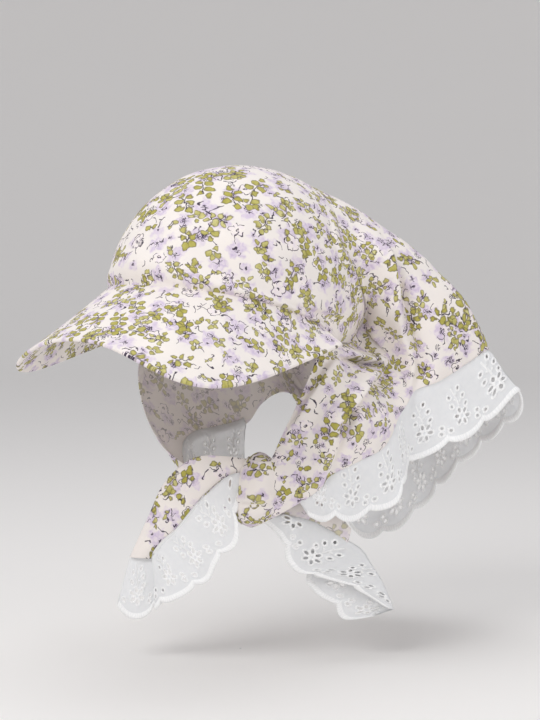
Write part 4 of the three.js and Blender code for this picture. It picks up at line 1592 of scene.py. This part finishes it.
class BANDANA_OT_tie_trims(bpy.types.Operator):
    """Build the eyelet edges of the tie ends"""

    bl_idname = "bandana.tie_trims"
    bl_label = "Eyelet edges of the tie ends"
    bl_options = {"REGISTER", "UNDO"}

    def execute(self, context):
        for name, rows, sewn, free in TIE_TRIMS:
            base = tie_base(rows)
            stops = np.linspace(0, 1, 200)
            across = np.linspace(free, sewn, 60)
            ribs = base(*np.meshgrid(stops, across, indexing="ij"))
            s = lengths_along(ribs[:, 0])
            gone = np.linalg.norm(np.diff(ribs, axis=1), axis=2)
            gone = np.concatenate([np.zeros((len(stops), 1)), np.cumsum(gone, axis=1)], axis=1)

            def surface(along, inward, s=s, stops=stops, gone=gone, across=across, base=base):
                stop = np.interp(along, s, stops)
                row = stop * (len(stops) - 1)
                low = np.minimum(row.astype(int), len(stops) - 2)
                reach = mix(gone[low], gone[low + 1], (row - low)[:, None])
                place = np.array([np.interp(w, r, across) for w, r in zip(inward, reach)])
                return base(stop, place)

            eyelet_piece(context, name, float(s[-1]), (s, gone[:, -1]), surface, free > sewn)
        return {"FINISHED"}


# Camera, aimed at the photo's angle: degrees round and up, distance and what it looks at
CAMERA_ROUND = math.radians(40)
CAMERA_UP = math.radians(5)
CAMERA_DISTANCE = 1.5
CAMERA_LENS = 100
CAMERA_RIGHT = 0.0225
CAMERA_DOWN = 0.054

# Lights in metres and watts: to the camera's right, towards it and up from the cap's middle
CAP_MIDDLE = Vector((0.03, 0.02, -0.08))
LIGHTS = {
    "name": ("key", "fill", "top"),
    "across": (-0.8, 1.1, -0.1),
    "toward": (1.0, 0.9, -0.2),
    "above": (1.0, 0.3, 1.3),
    "size": (0.9, 1.4, 1.2),
    "power": (9.8, 4.6, 4.0),
}
SKY = 0.55
SKY_COLOUR = linear("#f6f6f9")
FLOOR_RADIUS = 2.2
FLOOR_RINGS = (0.001, 0.6, 1.0, 1.4, 1.8, FLOOR_RADIUS)
SWEEP = 1.4


class BANDANA_OT_stage(bpy.types.Operator):
    """Build the pale sweep, the studio lights and the camera"""

    bl_idname = "bandana.stage"
    bl_label = "Stage"
    bl_options = {"REGISTER", "UNDO"}

    def execute(self, context):
        right = Vector((math.cos(CAMERA_ROUND), math.sin(CAMERA_ROUND), 0))
        flat_back = Vector((math.sin(CAMERA_ROUND), -math.cos(CAMERA_ROUND), 0))
        back = flat_back * math.cos(CAMERA_UP) + Vector((0, 0, math.sin(CAMERA_UP)))
        up = back.cross(right)
        target = right * CAMERA_RIGHT - up * CAMERA_DOWN
        lens = bpy.data.cameras.new("camera")
        lens.lens = CAMERA_LENS
        camera = new_object("camera", lens)
        camera.matrix_world = Matrix.Translation(target + back * CAMERA_DISTANCE) @ (
            Matrix((right, up, back)).transposed().to_4x4()
        )
        context.scene.camera = camera
        self.lights(context, right, flat_back)
        self.sweep(context)
        return {"FINISHED"}

    def lights(self, context, right, flat_back):
        for name, across, toward, above, size, power in zip(*LIGHTS.values()):
            light = bpy.data.lights.new(name, "AREA")
            light.shape = "DISK"
            light.size = size
            light.energy = power
            lamp = new_object(name, light)
            place = CAP_MIDDLE + right * across + flat_back * toward + Vector((0, 0, above))
            lamp.location = place
            lamp.rotation_euler = (place - CAP_MIDDLE).to_track_quat("Z", "Y").to_euler()
        world = bpy.data.worlds.new("studio")
        world.use_nodes = True
        shade = world.node_tree.nodes["Background"]
        shade.inputs["Color"].default_value = SKY_COLOUR
        shade.inputs["Strength"].default_value = SKY
        context.scene.world = world
        context.scene.view_settings.view_transform = "Standard"

    def sweep(self, context):
        """A round floor that curves up into a wall, so that no edge shows from any side."""
        floor = CAD_BOX[0][2] - context.scene.cap_sizes.floor_gap
        bend = np.linspace(0, math.pi / 2, 12)[1:]
        radius = np.concatenate([FLOOR_RINGS, FLOOR_RADIUS + SWEEP * np.sin(bend)])
        height = np.concatenate([np.zeros(len(FLOOR_RINGS)), SWEEP * (1 - np.cos(bend))]) + floor
        turn = np.linspace(0, TAU, 73)
        around, out = np.meshgrid(turn, np.arange(len(radius)), indexing="ij")
        x = radius[out] * np.cos(around)
        y = radius[out] * np.sin(around)
        places = np.stack([x, y, height[out]], axis=-1)
        mesh = bpy.data.meshes.new("sweep")
        mesh.from_pydata(places.reshape(-1, 3).tolist(), [], grid_faces(*out.shape).tolist())
        mesh.polygons.foreach_set("use_smooth", np.ones(len(mesh.polygons), dtype=bool))
        board = context.scene.cap_colours.board
        mesh.materials.append(material("Board, matte paint", painted_board, board))
        new_object("sweep", mesh)


class BANDANA_PT_pieces(bpy.types.Panel):
    """The pieces of the cap, in the order they are built"""

    bl_label = "Bandana Cap"
    bl_idname = "BANDANA_PT_pieces"
    bl_space_type = "VIEW_3D"
    bl_region_type = "UI"
    bl_category = "Bandana Cap"

    def draw(self, context):
        layout = self.layout
        for group in (context.scene.cap_sizes, context.scene.cap_colours):
            for name in group.__annotations__:
                layout.prop(group, name)
        for operator in OPERATORS:
            layout.operator(operator.bl_idname)


OPERATORS = (
    BANDANA_OT_stage,
    BANDANA_OT_crown,
    BANDANA_OT_peak,
    BANDANA_OT_kerchief,
    BANDANA_OT_trims,
    BANDANA_OT_knot,
    BANDANA_OT_tie_ends,
    BANDANA_OT_tie_trims,
)
CLASSES = (CapSizes, CapColours, *OPERATORS, BANDANA_PT_pieces)


def register():
    for item in CLASSES:
        bpy.utils.register_class(item)
    bpy.types.Scene.cap_sizes = PointerProperty(type=CapSizes)
    bpy.types.Scene.cap_colours = PointerProperty(type=CapColours)


def unregister():
    del bpy.types.Scene.cap_colours
    del bpy.types.Scene.cap_sizes
    for item in reversed(CLASSES):
        bpy.utils.unregister_class(item)


def main():
    register()
    bpy.ops.bandana.stage()
    bpy.ops.bandana.crown()
    bpy.ops.bandana.peak()
    bpy.ops.bandana.kerchief()
    bpy.ops.bandana.trims()
    bpy.ops.bandana.knot()
    bpy.ops.bandana.tie_ends()
    bpy.ops.bandana.tie_trims()


if __name__ == "__main__":
    main()
